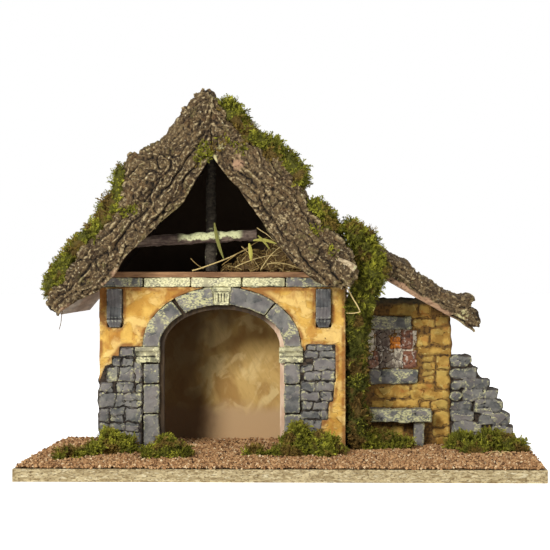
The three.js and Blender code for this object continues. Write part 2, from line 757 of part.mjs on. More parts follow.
const leftFrame = slopeFrame(ridgeX - slabGap / 2, ridgeHeight, leftSlope, -1);
const rightFrame = slopeFrame(ridgeX + slabGap / 2, ridgeHeight, rightSlope, 1);
const leftBoardLength = (ridgeX - wallLeft + leftEaveReach) / Math.cos(leftSlope);
const rightBoardLength = (wallRight + rightEaveReach - ridgeX) / Math.cos(rightSlope);
const roofSlab = {
  front: roofFront - barkOverhang, boardFront: roofFront, back: roofBack, bed: roofBoardThickness,
};

const barkSlabs = {
  bark_left_upper: {
    ...roofSlab, frame: leftFrame, start: (out) => -out * leftFrame.tangent, end: leftSplit,
    stations: [
      [0, 0.98, 0.625], [0.11, 1.4, 0.708], [0.32, 1.417, 0.833], [0.53, 1.417, 0.979],
      [0.645, 1.604, 0.958], [0.76, 2.021, 0.875], [0.84, 1.833, 0.833], [0.93, 1.25, 0.771],
      [1, 1, 0.771],
    ],
  },
  bark_left_lower: {
    ...roofSlab, frame: leftFrame, start: () => leftSplit + slabGap, end: leftBoardLength - 2,
    stations: [
      [0, 1, 0.771], [0.18, 0.958, 0.646], [0.32, 0.938, 0.562], [0.48, 1.021, 0.708],
      [0.68, 0.979, 0.625], [0.84, 0.938, 0.208], [0.95, 0.917, 0.021], [1, 0.708, -0.062],
    ],
  },
  bark_right_upper: {
    ...roofSlab, frame: rightFrame, start: (out) => -out * rightFrame.tangent, end: rightSplit,
    stations: [
      [0, 1.04, 0.667], [0.14, 0.95, 0.729], [0.29, 0.708, 0.792], [0.42, 0.9, 0.75],
      [0.53, 1.1, 0.833], [0.73, 1.321, 0.917], [0.83, 1.271, 0.958], [0.94, 1.083, 1.042],
      [1, 0.833, 1.083],
    ],
  },
  bark_right_lower: {
    ...roofSlab, frame: rightFrame, start: () => rightSplit + slabGap, end: rightBoardLength + 0.5,
    stations: [
      [0, 0.833, 1.104], [0.22, 0.917, 1.167], [0.42, 0.833, 1.208], [0.6, 0.892, 1.125],
      [0.75, 0.783, 1.083], [0.88, 0.646, 0.833], [1, 0.292, 0.417],
    ],
  },
};

// Closes the gap between the two left slabs under the moss that grows over it
function leftSeam() {
  const { stations: [[, top, lip]] } = barkSlabs.bark_left_lower;
  const start = () => leftSplit - slabGap;
  const stations = [0, 1].map((share) => [share, top * seamCover, lip]);
  return barkSlab({ ...barkSlabs.bark_left_lower, start, end: leftSplit + 2 * slabGap, stations }, seat);
}

function roofBoard(eaveX) {
  const side = Math.sign(eaveX - ridgeX);
  const slope = side < 0 ? leftSlope : rightSlope;
  const top = roofBoardThickness / Math.cos(slope);
  const x0 = ridgeX + side * slabGap / 2;
  const x1 = eaveX;
  const overlapX = side * roofBoardThickness * Math.sin(slope);
  const overlapZ = roofBoardThickness * Math.cos(slope);
  return toSolid(plate([
    [x0, roofUnderside(x0)], [x1, roofUnderside(x1)], [x1 + overlapX, roofUnderside(x1) + overlapZ],
    [x0, roofUnderside(x0) + top],
  ], roofFront, roofBack));
}

function buildRoof(group, roof) {
  addMesh(group, 'roof_board_left', roof.boards[0], finishes.roofBoard());
  addMesh(group, 'roof_board_right', roof.boards[1], finishes.roofBoard());
  for (const [name, solid] of Object.entries(roof.slabs)) {
    addMesh(group, name, solid, finishes.bark());
  }

  const stub = new THREE.CylinderGeometry(stubTopRadius, stubRadius, stubLength, 9)
    .rotateZ(-Math.PI / 2)
    .rotateY(stubTurn)
    .translate(wallRight, roofFront - 3, roofUnderside(wallRight) + stubRise);
  const stubSolid = toSolid(stub);
  const clearStub = largest(stubSolid.subtract(roof.grown.bark_right_lower).simplify(sliver));
  addMesh(group, 'branch_stub', clearStub, finishes.wood());

  const leftLine = [...topLine(barkSlabs.bark_left_upper), ...topLine(barkSlabs.bark_left_lower)];
  const upperLine = topLine(barkSlabs.bark_right_upper);
  const lowerLine = topLine(barkSlabs.bark_right_lower);
  const front = roofFront - 0.2 * mossUnit;
  const back = front + 7 * mossUnit;
  const bands = {
    moss_roof_left: {
      frame: leftFrame, line: leftLine, from: leftSplit - 2.4 * mossUnit,
      to: leftBoardLength - 0.4 * mossUnit, front, back, height: 1.8 * mossUnit,
      slabs: [roof.grown.bark_left_upper, roof.grown.bark_left_lower, leftSeam()],
    },
    moss_ridge: {
      frame: rightFrame, line: upperLine, from: -1.9 * mossUnit, to: rightSplit - 1.1 * mossUnit,
      front, back, height: 1.6 * mossUnit, slabs: [roof.grown.bark_right_upper],
    },
    moss_roof_right: {
      frame: rightFrame, line: lowerLine, from: rightSplit + 0.4 * mossUnit, to: rightSplit + 4.6 * mossUnit,
      front, back, height: 1.4 * mossUnit, slabs: [roof.grown.bark_right_lower],
    },
  };
  for (const [name, band] of Object.entries(bands)) {
    addMesh(group, name, mossBand(band), finishes.moss());
  }
}

// Loft furniture: a post under the ridge, a rail across it and a heap of hay
function buildLoft(group, roof) {
  const postX = ridgeX - postOffset;
  const postY = houseFront + postSetback;
  const railRightX = ridgeX + railReach;
  const postHeight = ridgeHeight - floorTop;
  const post = new THREE.CylinderGeometry(postTopRadius, postRadius, postHeight, 10).rotateX(Math.PI / 2);
  const postSolid = toSolid(post.translate(postX, postY, floorTop + seat + postHeight / 2));
  addMesh(group, 'loft_post', largest(clearOf(postSolid, roof.boards)), finishes.wood());

  const railY = postY - postRadius - railRadius - seat;
  const railLength = railRightX - wallLeft;
  const rail = new THREE.CylinderGeometry(railRadius, railRadius, railLength, 10).rotateZ(Math.PI / 2);
  const railX = railRightX - railLength / 2;
  const railZ = floorTop + railHeight + (railX - postX) * Math.tan(railTilt);
  const railSolid = toSolid(rail.rotateY(-railTilt).translate(railX, railY, railZ));
  const underRoof = toSolid(plate([
    [wallLeft, plateHeight], [wallRight, plateHeight], [ridgeX, ridgeHeight],
  ], railY - railRadius - 1, railY + railRadius + 1)).translate([0, 0, -seat / Math.cos(leftSlope)]);
  addMesh(group, 'loft_rail', railSolid.intersect(underRoof), finishes.lichenWood());

  const heap = [[6.6, 2.1, 2.4, 1.5, 3.4], [3.8, 1.8, 2.3, 1.3, 2.2], [1.5, 1.5, 1.2, 0.8, 0.7]];
  const clumps = mounds(heap, hayUnit, ridgeX, houseFront, floorTop + seat);
  addMesh(group, 'hay_heap', clearOf(join(clumps), [postSolid]), finishes.hay());
}

// A low dome on a flat foot
function mound(x, y, radiusX, radiusY, height, footZ) {
  const steps = 4;
  const profile = [new THREE.Vector2(0, 0)];
  for (let i = 0; i <= steps; i += 1) {
    const angle = Math.PI / 2 * i / steps;
    profile.push(new THREE.Vector2(i === steps ? 0 : Math.cos(angle), Math.sin(angle)));
  }
  const geometry = new THREE.LatheGeometry(profile, 12).rotateX(Math.PI / 2);
  return toSolid(geometry.scale(radiusX, radiusY, height).translate(x, y, footZ));
}

// Mounds given by place and half sizes in a unit, from a point of the plan
function mounds(list, unit, x, y, footZ) {
  return list.map(([across, deep, radiusX, radiusY, height]) => (
    mound(x + across * unit, y + deep * unit, radiusX * unit, radiusY * unit, height * unit, footZ)
  ));
}

function lump(x, y, z, radiusX, radiusY, radiusZ) {
  const geometry = new THREE.SphereGeometry(1, 10, 7).rotateX(Math.PI / 2);
  return toSolid(geometry.scale(radiusX, radiusY, radiusZ).translate(x, y, z));
}

// Annex

// Ochre stones of the annex wall: [left, right, low, high], in per cent of its width and height.
const annexStones = [
  [42.6, 69.9, 89.4, 96.5], [71.6, 81.3, 90.2, 96.5], [63.8, 82.6, 87.5, 89.5],
  [66.1, 84.4, 81.3, 86.2], [86.8, 99.1, 82.6, 88.1], [82, 99.5, 69.8, 80.4], [69.9, 80.2, 68.8, 75.7],
  [69.9, 99.5, 63, 67.1], [73.7, 83.9, 58.1, 60.8], [75, 85, 52.8, 56.9], [75, 83.9, 48.3, 51.1],
  [76.1, 83.9, 43.9, 47], [87.5, 99.1, 52.8, 61.7], [87.5, 99.1, 39.5, 51.5], [64.8, 85, 38.2, 42.2],
  [27.8, 60.7, 33.5, 40.5], [61.7, 74.3, 32.3, 37.5], [75.5, 99.1, 32.3, 37.5],
  [23.9, 71.1, 26.8, 31.4], [73, 81.1, 26.8, 30.6], [83, 97.5, 25.2, 30.6], [85, 99.5, 14.1, 23.4],
  [85, 99.5, 7.5, 12.6], [86.2, 99.5, 0.6, 5.7], [7.3, 23.9, 67.1, 76.1], [5.5, 22, 55.5, 64.5],
  [7.3, 20.2, 42.6, 52.9], [5.5, 25.7, 80, 87.7], [5.5, 22.9, 12.9, 24.5], [27.5, 55, 2.6, 12.9],
];

// Niche bricks: [left, right, low, high], in per cent of the niche's width and height.
const nicheBricks = [
  [18.9, 42.6, 48.2, 95.4], [47.5, 66, 53, 79.5], [68.3, 89.4, 53, 95.9], [1.9, 21.9, 2.4, 43.4],
  [24.5, 50.6, 2.4, 43.4], [52.8, 71.3, 2.4, 43.4], [73.6, 97.4, 2.4, 43.4],
];

// Boulders of the stepped wall: [left, right, low, high], in per cent of its reach and height.
const boulders = [
  [1.4, 32.5, 87.7, 100], [1.4, 42.6, 73.2, 86.5], [1.4, 19.1, 61.9, 72.5], [18.8, 60.6, 63.5, 74.4],
  [20.3, 52.8, 50.2, 64.6], [51.3, 72.8, 50.2, 64], [1.4, 32.8, 38.5, 50.6], [36.2, 80.6, 37.1, 51],
  [1.4, 35.7, 27.1, 39.6], [44.9, 90.7, 22.7, 37.9], [2.9, 48.7, 14.2, 28.1], [63.8, 96.8, 12.5, 23.5],
  [1.4, 37.7, 0.6, 15.2], [36.2, 98.6, 0.6, 14.6],
];

// Turns [left, right, low, high] in per cent of a width and a height into places.
function placed([left, right, low, high], x, width, z, height) {
  return [x + left * width / 100, x + right * width / 100, z + low * height / 100, z + high * height / 100];
}

function annexWall(inlays) {
  const foot = groundZ + seat;
  const mortar = annexFace + annexRelief;
  const bend = annexRight - (annexTop - leanCornerZ) / Math.tan(leanSlope);
  const wall = toSolid(plate([
    [annexLeft, foot], [annexRight, foot], [annexRight, leanCornerZ],
    [bend, annexTop], [annexLeft, annexTop],
  ], mortar, annexBack));
  const stones = annexStones.map((edges) => {
    const [x0, x1, z0, z1] = placed(edges, wallRight, annexWidth, groundZ, annexHeight);
    const underRoof = leanCornerZ + (annexRight - x1) * Math.tan(leanSlope) - 1;
    return dressedStone(x0, x1, z0, Math.min(z1, underRoof), annexFace, mortar + annexRelief, 0.9);
  });
  return clearOf(join([wall, ...stones]), inlays);
}

function buildAnnex(group, lean) {
  const nicheRight = annexRight - nicheFromEnd;
  const nicheLeft = nicheRight - nicheWidth;
  const sillZ = groundZ + nicheSill;
  const nicheFloor = annexFace + nicheDepth;
  const ledgeFace = annexFace - ledgeProud;
  const ledgeBack = annexFace + nicheDepth;

  const nicheTop = sillZ + nicheHeight;
  const brickFace = annexFace + 0.8;
  const bricks = nicheBricks.map((edges) => {
    const place = placed(edges, nicheLeft, nicheWidth, sillZ, nicheHeight);
    return dressedStone(...place, brickFace, nicheFloor - 0.5, 0.8);
  });
  const nicheBack = toSolid(block(nicheLeft, nicheRight, annexFace + 2.4, nicheFloor, sillZ, nicheTop));
  const niche = join([nicheBack, ...bricks]);
  const capLeft = nicheLeft + 4;
  const capRight = capLeft + capWidth;
  const capZ = nicheTop + seat;
  const cap = dressedStone(capLeft, capRight, capZ, capZ + capHeight, ledgeFace, ledgeBack, 1.2);
  const sillTop = sillZ - seat;
  const sillFoot = sillTop - sillHeight;
  const sillLeft = nicheLeft + 1.5;
  const sillRight = sillLeft + sillWidth;
  const sill = dressedStone(sillLeft, sillRight, sillFoot, sillTop, ledgeFace, ledgeBack, 1.5);

  const benchLeft = wallRight + benchFromHouse;
  const benchZ = groundZ + benchUnderside;
  const benchBack = annexFace + annexRelief - seat;
  const bench = toSolid(block(
    benchLeft, benchLeft + benchWidth, benchBack - benchDepth, benchBack, benchZ, benchZ + benchThickness,
  ));
  const legRight = benchLeft + benchWidth - benchLegInset;
  const legFront = benchBack - benchDepth + benchLegSetback;
  const leg = block(
    legRight - benchLegWidth, legRight, legFront, legFront + benchLegDepth, groundZ + seat, benchZ - seat,
  );

  const inlays = [
    block(nicheLeft, nicheRight, ledgeFace, nicheFloor, sillZ, nicheTop),
    block(capLeft, capRight, ledgeFace, ledgeBack, capZ, capZ + capHeight),
    block(sillLeft, sillRight, ledgeFace, ledgeBack, sillFoot, sillTop),
  ].map(toSolid);
  addMesh(group, 'annex_wall', annexWall([...inlays, bench]), finishes.ochreStone());
  addMesh(group, 'niche_bricks', niche, finishes.brick());
  addMesh(group, 'niche_cap', cap, finishes.stone());
  addMesh(group, 'niche_sill', sill, finishes.stone());
  addMesh(group, 'bench_slab', bench, finishes.stone());
  addMesh(group, 'bench_leg', leg, finishes.stone());
  addMesh(group, 'boulder_wall', boulderWall(), finishes.stone());
  addMesh(group, 'lean_to_board', lean.board, finishes.roofBoard());
  addMesh(group, 'lean_to_bark_upper', lean.slabs[0], finishes.bark());
  addMesh(group, 'lean_to_bark_lower', lean.slabs[1], finishes.bark());
  return { bench, leg: toSolid(leg) };
}

// Rounded stones stacked in steps against the annex wall's end
function boulderWall() {
  const start = annexRight + seat;
  const front = annexFace - boulderProud;
  const back = front + boulderDepth;
  const stones = boulders.map((edges) => {
    const [x0, x1, z0, z1] = placed(edges, start, boulderReach, groundZ, boulderHeight);
    return dressedStone(x0 - 1, x1, z0, z1, front, back, 2.2);
  });
  const steps = [[0, 0], [92.8, 0], [84.1, 31.2], [66.7, 47.9], [52.2, 68.8], [29, 95.8], [0, 95.8]];
  const outline = steps.map(([across, up]) => [
    start + across * boulderReach / 100, groundZ + up * boulderHeight / 100,
  ]);
  const core = toSolid(plate(outline, annexFace + 1, back - 1));
  const floor = toSolid(block(start - 1, start + boulderReach, front - 1, back + 1, 0, groundZ + seat));
  return join([core, ...stones]).subtract(floor);
}

// Lean-to roof: a board and two bark pieces that meet end to end
const leanFrame = slopeFrame(leanX, leanZ, leanSlope, 1);
const leanSlabs = [
  {
    frame: leanFrame, front: leanFront - leanOverhang, boardFront: leanFront, back: roofBack,
    bed: leanBoardThickness, start: (out) => -out * Math.tan(leanSlope), end: leanSplit,
    stations: [
      [0, 1.083, 0.042], [0.25, 1.104, 0.062], [0.6, 1, 0.042], [0.85, 1.042, 0.042],
      [1, 0.917, 0.042],
    ],
  },
  {
    frame: leanFrame, front: leanFront - leanOverhang, boardFront: leanFront, back: roofBack,
    bed: leanBoardThickness, start: () => leanSplit + slabGap, end: leanLength + 2,
    stations: [
      [0, 0.833, 0.042], [0.2, 0.875, 0.062], [0.45, 0.792, 0.042], [0.66, 0.875, 0.042],
      [0.8, 1.167, 0.021], [0.82, 0.708, 0.021], [0.9, 0.729, 0.083], [1, 0.375, 0.083],
    ],
  },
];

function leanTo() {
  const corner = (along, out) => {
    const [x, , z] = leanFrame.point(along, 0, out);
    return [x, z];
  };
  const top = leanBoardThickness;
  const board = toSolid(plate([
    corner(0, 0), corner(leanLength, 0), corner(leanLength, top), corner(-top * Math.tan(leanSlope), top),
  ], leanFront, roofBack));
  return { board, slabs: leanSlabs.map((slab) => barkSlab(slab)), grownSlab: barkSlab(leanSlabs[0], seat) };
}

// Moss in the corner between house and annex, and tufts on the ground. A corner lump has its place and half
// sizes in moss units from the house's right front corner, but heights in shares of the plate's. A tuft's
// mounds are given in moss units from a point of the wall's face.
function buildMoss(group, roof, lean, bench, gravel) {
  const cornerLumps = [
    [0.6, -1.3, 1.236, 1.5, 2, 0.073], [2, -0.6, 1.162, 1.7, 1.6, 0.115], [2.8, -0.7, 1.047, 1.5, 1.5, 0.136],
    [2, -0.6, 0.921, 1.6, 1.5, 0.126], [1.2, 1.2, 0.785, 1.3, 1.8, 0.168], [1, 1.9, 0.586, 1.1, 1.8, 0.178],
    [1, 1.9, 0.387, 1.1, 1.8, 0.178], [1.1, 1.9, 0.209, 1.3, 2, 0.141],
  ].map(([x, y, z, rx, ry, rz]) => lump(
    wallRight + x * mossUnit, houseFront + y * mossUnit, z * plateHeight,
    rx * mossUnit, ry * mossUnit, rz * plateHeight,
  ));
  const houseBlock = toSolid(block(wallLeft, wallRight, houseFront - floorNose, houseBack, 0, floorTop));
  const neighbours = [houseBlock, roof.boards[1], lean.board];
  const bark = join([roof.grown.bark_right_upper, roof.grown.bark_right_lower, lean.grownSlab]);
  const foot = gravelTop - gravelRelief / 2 + seat;  // the hollows between the gravel's heaps
  const underMoss = gravel.translate([0, 0, seat]);
  const halfDepth = boardDepth / 2;
  const houseSide = toSolid(block(wallLeft, wallRight, -halfDepth, halfDepth, 0, ridgeHeight));
  const ground = toSolid(block(wallLeft, annexRight, -halfDepth, halfDepth, 0, foot));
  const cut = join([bark, houseSide, ground, underMoss]);
  const hanging = largest(clearOf(join(cornerLumps), neighbours).subtract(cut).simplify(sliver));
  addMesh(group, 'moss_corner', hanging, finishes.moss());

  const tufts = {
    moss_ground_left: [wallLeft, [
      [-2.3, -6.7, 1, 0.9, 1.3], [-1.1, -5.7, 1, 1.2, 0.9], [0.1, -3.9, 1.2, 1.8, 1.3],
      [1.5, -1.9, 1.5, 1.5, 2.6], [3.1, -2.5, 1.2, 1.4, 2],
    ]],
    moss_ground_door: [archCentre, [
      [-5.2, -4.9, 1.7, 1.8, 2.2], [-3.4, -5.5, 1.2, 1.4, 1.4], [-6.5, -6.1, 1, 1.2, 1.2],
    ]],
    moss_ground_right: [wallRight, [
      [-9.1, -4.3, 1.1, 0.7, 0.8], [-7.5, -4.1, 0.9, 0.7, 0.7], [-5.8, -4.3, 1.4, 1.4, 1.4],
      [-4.6, -2.7, 1.8, 2, 2.9], [-2.2, -3.5, 2, 2.2, 2.4], [-0.6, -3.1, 1, 1.4, 1.8],
    ]],
    moss_ground_bench: [wallRight, [
      [2.4, 2.5, 1.5, 1.2, 1.8], [4.4, 2.3, 1.6, 1, 2], [6.2, 2.1, 1.2, 0.9, 1.2],
    ]],
    moss_ground_boulders: [annexRight, [
      [1.3, 2.1, 1.8, 2.2, 1.7], [3.7, 1.1, 2.2, 2.4, 2.2], [6, 0.1, 1.6, 2.2, 1.6],
      [2.1, -1.3, 1.4, 1.4, 0.9],
    ]],
  };
  const standing = [houseBlock, bench.bench, bench.leg];
  for (const [name, [x, list]] of Object.entries(tufts)) {
    const clump = join(mounds(list, mossUnit, x, houseFront, foot)).subtract(underMoss).simplify(sliver);
    addMesh(group, name, largest(clearOf(clump, [...standing, hanging])), finishes.moss());
  }
}

// What stands on the board, as plain blocks the gravel is cut back from
function standingBlocks() {
  const high = gravelTop + 5;
  const facade = houseFront - impostProud - 1;
  const boulderFace = annexFace - boulderProud;
  const boulderEnd = annexRight + boulderReach;
  return [
    block(wallLeft, archLeft + panelReveal, facade, panelBack, 0, high),
    block(archRight - panelReveal, wallRight, facade, panelBack, 0, high),
    block(wallLeft, wallLeft + sideThickness, panelFace, houseBack, 0, high),
    block(wallRight - sideThickness, wallRight, panelFace, houseBack, 0, high),
    block(wallLeft, wallRight, houseBack - rearThickness, houseBack, 0, high),
    block(annexLeft, annexRight, annexFace, annexBack, 0, high),
    block(annexRight, boulderEnd, boulderFace, boulderFace + boulderDepth, 0, high),
    legFootprint(high),
  ].map(toSolid);
}

function legFootprint(high) {
  const legRight = wallRight + benchFromHouse + benchWidth - benchLegInset;
  const legFront = annexFace + annexRelief - seat - benchDepth + benchLegSetback;
  return block(legRight - benchLegWidth, legRight, legFront, legFront + benchLegDepth, 0, high);
}

function newGroup(parent) {
  const group = new THREE.Group();
  parent.add(group);
  return group;
}

const roof = {
  boards: [roofBoard(wallLeft - leftEaveReach), roofBoard(wallRight + rightEaveReach)],
  slabs: Object.fromEntries(Object.entries(barkSlabs).map(([name, slab]) => [name, barkSlab(slab)])),
  grown: Object.fromEntries(Object.entries(barkSlabs).map(([name, slab]) => [name, barkSlab(slab, seat)])),
};
const lean = leanTo();

const stable = new THREE.Group();
const gravel = buildBase(newGroup(stable), standingBlocks());
buildHouse(newGroup(stable));
buildRoof(newGroup(stable), roof);
buildLoft(newGroup(stable), roof);
const bench = buildAnnex(newGroup(stable), lean);
buildMoss(newGroup(stable), roof, lean, bench, gravel);

export default stable;
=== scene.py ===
import itertools
import math

import bpy
import numpy as np
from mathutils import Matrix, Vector
from mathutils.bvhtree import BVHTree


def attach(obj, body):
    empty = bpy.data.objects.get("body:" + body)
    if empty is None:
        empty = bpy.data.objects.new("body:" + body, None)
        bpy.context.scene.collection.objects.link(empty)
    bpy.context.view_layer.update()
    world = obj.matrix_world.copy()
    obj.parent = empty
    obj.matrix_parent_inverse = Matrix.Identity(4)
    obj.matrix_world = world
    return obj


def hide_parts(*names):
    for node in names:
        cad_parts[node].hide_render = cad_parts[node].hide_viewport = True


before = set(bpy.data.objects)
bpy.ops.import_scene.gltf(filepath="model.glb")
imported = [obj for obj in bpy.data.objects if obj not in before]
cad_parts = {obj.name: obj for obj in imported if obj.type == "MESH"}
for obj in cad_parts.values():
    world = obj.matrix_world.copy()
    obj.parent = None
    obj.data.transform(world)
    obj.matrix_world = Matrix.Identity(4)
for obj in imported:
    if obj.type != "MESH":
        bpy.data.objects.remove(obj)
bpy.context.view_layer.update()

MM = 0.001


# Numbers: noise and cells in space

def lattice(cells, seed):
    """A fixed random number in -1..1 for each whole-numbered cell."""
    x, y, z = (cells[..., i].astype(np.uint64) for i in range(3))
    mixed = x * np.uint64(0x9E3779B1) + y * np.uint64(0x85EBCA77) + z * np.uint64(0xC2B2AE3D)
    mixed = mixed + np.uint64(seed * 0x27D4EB2F)
    mixed = (mixed ^ (mixed >> np.uint64(15))) * np.uint64(0x2C1B3C6D)
    mixed = (mixed ^ (mixed >> np.uint64(12))) * np.uint64(0x297A2D39)
    return ((mixed >> np.uint64(17)) & np.uint64(0xFFFF)).astype(float) / 32767.5 - 1


def noise(points, size, seed):
    """Smooth noise in -1..1 with features about `size` across."""
    scaled = np.asarray(points, float) / size
    base = np.floor(scaled).astype(np.int64)
    t = scaled - base
    t = t * t * (3 - 2 * t)
    total = np.zeros(len(scaled))
    for corner in itertools.product((0, 1), repeat=3):
        weight = np.prod(np.where(corner, t, 1 - t), axis=1)
        total += weight * lattice(base + corner, seed)
    return total


def layered(points, size, seed, octaves=3):
    """Noise with ever finer and weaker layers on it."""
    total = np.zeros(len(points))
    for octave in range(octaves):
        total += noise(points, size / 2.1 ** octave, seed + octave) / 2 ** octave
    return total


def cells(points, size, seed):
    """For each point its distance from its cell's border, in cell sizes, and that cell's random number."""
    scaled = np.asarray(points, float) / size
    base = np.floor(scaled).astype(np.int64)
    nearest = np.full(len(scaled), 9.0)
    second = np.full(len(scaled), 9.0)
    value = np.zeros(len(scaled))
    for corner in itertools.product((-1, 0, 1), repeat=3):
        cell = base + corner
        jitter = np.stack([lattice(cell, seed + k) for k in range(3)], axis=1) * 0.45 + 0.5
        distance = np.linalg.norm(cell + jitter - scaled, axis=1)
        closer = distance < nearest
        second = np.where(closer, nearest, np.minimum(second, distance))
        value = np.where(closer, lattice(cell, seed + 7), value)
        nearest = np.minimum(nearest, distance)
    return second - nearest, value


def ramp(low, high, value):
    """0 at low and 1 at high with soft ends. With low above high it falls instead."""
    t = np.clip((value - low) / (high - low), 0, 1)
    return t * t * (3 - 2 * t)


def unit(vectors):
    return vectors / np.maximum(np.linalg.norm(vectors, axis=1), 1e-6)[:, None]


# Meshes

def link(name, data):
    """A mesh, lamp or camera as an object of the scene."""
    made = bpy.data.objects.new(name, data)
    bpy.context.scene.collection.objects.link(made)
    return made


def give(mesh, name, values):
    """Stores one number for each vertex, for the materials to read."""
    layer = mesh.attributes.new(name, "FLOAT", "POINT")
    layer.data.foreach_set("value", np.asarray(values, np.float32))


def read(elements, name, width, kind=float):
    """What a mesh's elements hold under that name, as one row for each of them."""
    flat = np.zeros(len(elements) * width, kind)
    elements.foreach_get(name, flat)
    return flat.reshape(-1, width)


def finish_piece(piece, material, replaced=(), smooth=True):
    piece.data.materials.clear()
    piece.data.materials.append(material)
    if smooth:
        piece.data.shade_smooth()
    else:
        piece.data.shade_flat()
    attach(piece, "root")
    if replaced:
        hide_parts(*replaced)


class Sculpt:
    """A CAD node as an even mesh that can be worn and displaced. Points are in millimetres."""

    def __init__(self, node, voxel):
        copy = link(node + "_sculpt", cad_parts[node].data.copy())
        remesh = copy.modifiers.new("remesh", "REMESH")
        remesh.mode = "VOXEL"
        remesh.voxel_size = voxel * MM
        evaluated = copy.evaluated_get(bpy.context.evaluated_depsgraph_get())
        mesh = bpy.data.meshes.new_from_object(evaluated)
        bpy.data.objects.remove(copy)
        self.node = node
        self.mesh = mesh
        self.count = len(mesh.vertices)
        self.points = read(mesh.vertices, "co", 3) / MM
        self.edges = read(mesh.edges, "vertices", 2, np.int64)
        self.faces = read(mesh.polygons, "vertices", 4, np.int64)

    def relaxed(self, values, rounds):
        """Each value moved towards its neighbours' mean, so many times."""
        a, b = self.edges.T
        near = np.bincount(a, minlength=self.count) + np.bincount(b, minlength=self.count)
        columns = values.reshape(self.count, -1).T.copy()
        for _ in range(rounds):
            for k, column in enumerate(columns):
                total = np.bincount(a, column[b], self.count) + np.bincount(b, column[a], self.count)
                columns[k] = 0.4 * column + 0.6 * total / near
        return columns.T.reshape(values.shape)

    def settle(self):
        """Writes the points to the mesh."""
        self.mesh.vertices.foreach_set("co", (self.points * MM).ravel())
        self.mesh.update()

    def normals(self):
        self.settle()
        return read(self.mesh.vertex_normals, "vector", 3)

    def facing_front(self):
        """1 for what faces the front and 0 for the sides and the back."""
        return ramp(0.2, 0.6, -self.normals()[:, 1])

    def push(self, heights):
        self.points = self.points + self.normals() * np.asarray(heights).reshape(-1, 1)

    def round_off(self, rounds):
        self.points = self.relaxed(self.points, rounds)

    def warp(self, size, amount, seed):
        """Bends outlines in X and Z, the same for all that is near."""
        shift = np.stack([layered(self.points, size, seed + 20 * k, 2) for k in (0, 2)], axis=1)
        self.points[:, [0, 2]] += shift * amount

    def curvature(self, rounds, depth):
        """0.5 on the flat, towards 1 on edges and towards 0 in joints."""
        rise = np.sum((self.points - self.relaxed(self.points, rounds)) * self.normals(), axis=1)
        return np.clip(0.5 + rise / depth, 0, 1)

    def piece(self, material, slot, **layers):
        """The piece itself. Each layer holds one number for each point, for the material to read."""
        self.settle()
        for name, values in layers.items():
            give(self.mesh, name, values)
        finish_piece(link(self.node + "_worn", self.mesh), material, [self.node])


class Batch:
    """Many small forms gathered into one mesh. Points are in millimetres."""

    def __init__(self):
        self.points = []
        self.faces = []
        self.tints = []
        self.tips = []
        self.count = 0

    def add(self, points, faces, tint, tip=0.5):
        points = np.asarray(points, float)
        self.points.append(points)
        self.faces.extend((np.asarray(faces) + self.count).tolist())
        self.tints.append(np.broadcast_to(tint, len(points)))
        self.tips.append(np.broadcast_to(tip, len(points)))
        self.count += len(points)

    def scatter(self, template, places, turns, scales, tints, tips=None):
        """Copies of a template (points, faces), turned by 3x3 matrices and scaled along its own axes."""
        shape, faces = template
        scaled = shape[None] * scales[:, None, :]
        points = np.einsum("nij,nkj->nki", turns, scaled) + places[:, None, :]
        starts = np.arange(len(places)) * len(shape)
        all_faces = (faces[None] + starts[:, None, None]).reshape(-1, faces.shape[1])
        tip = 0.5 if tips is None else np.tile(tips, len(places))
        self.add(points.reshape(-1, 3), all_faces, np.repeat(tints, len(shape)), tip)

    def tube(self, path, radius_from, radius_to, sides, tint):
        """A tapering stalk along a path, closed at both ends."""
        path = np.asarray(path, float)
        along = unit(np.gradient(path, axis=0))
        side = unit(np.cross(along, (0.31, 0.12, 0.94)))
        other = np.cross(along, side)
        radii = np.linspace(radius_from, radius_to, len(path))
        angles = np.arange(sides) * 2 * math.pi / sides
        cosines, sines = np.cos(angles)[:, None], np.sin(angles)[:, None]
        ring = cosines * side[:, None] + sines * other[:, None]
        points = (path[:, None] + ring * radii[:, None, None]).reshape(-1, 3)
        faces = []
        for i in range(len(path) - 1):
            for j in range(sides):
                k = (j + 1) % sides
                faces.append([i * sides + j, i * sides + k, (i + 1) * sides + k, (i + 1) * sides + j])
        self.add(points, faces, tint)
        last = self.count - sides
        first = self.count - len(points)
        self.faces.append([first + j for j in reversed(range(sides))])
        self.faces.append([last + j for j in range(sides)])

    def blade(self, path, width, tint):
        """A flat leaf along a path, widest in its middle and folded along its rib towards the front."""
        front = np.array([0, -1, 0])
        across = unit(np.cross(np.gradient(path, axis=0), front))
        shares = np.linspace(0.08, 0.97, len(path))
        half = (width / 2 * np.sin(shares * math.pi) ** 0.7)[:, None]
        rib = path + front * half * 0.35
        points = np.concatenate([path - across * half, rib, path + across * half])
        n = len(path)
        starts = [row * n + i for row in (0, 1) for i in range(n - 1)]
        self.add(points, [[start, start + 1, start + n + 1, start + n] for start in starts], tint)

    def piece(self, name, material, slot, replaced=(), smooth=True):
        mesh = bpy.data.meshes.new(name)
        mesh.from_pydata(np.concatenate(self.points) * MM, [], self.faces)
        give(mesh, "tint", np.concatenate(self.tints))
        give(mesh, "tip", np.concatenate(self.tips))
        finish_piece(link(name, mesh), material, replaced, smooth)


def random_turns(rng, count):
    """Evenly spread random rotations, as 3x3 matrices."""
    w, x, y, z = unit(rng.normal(size=(count, 4))).T
    rows = [
        [1 - 2 * (y * y + z * z), 2 * (x * y - w * z), 2 * (x * z + w * y)],
        [2 * (x * y + w * z), 1 - 2 * (x * x + z * z), 2 * (y * z - w * x)],
        [2 * (x * z - w * y), 2 * (y * z + w * x), 1 - 2 * (x * x + y * y)],
    ]
    return np.array(rows).transpose(2, 0, 1)


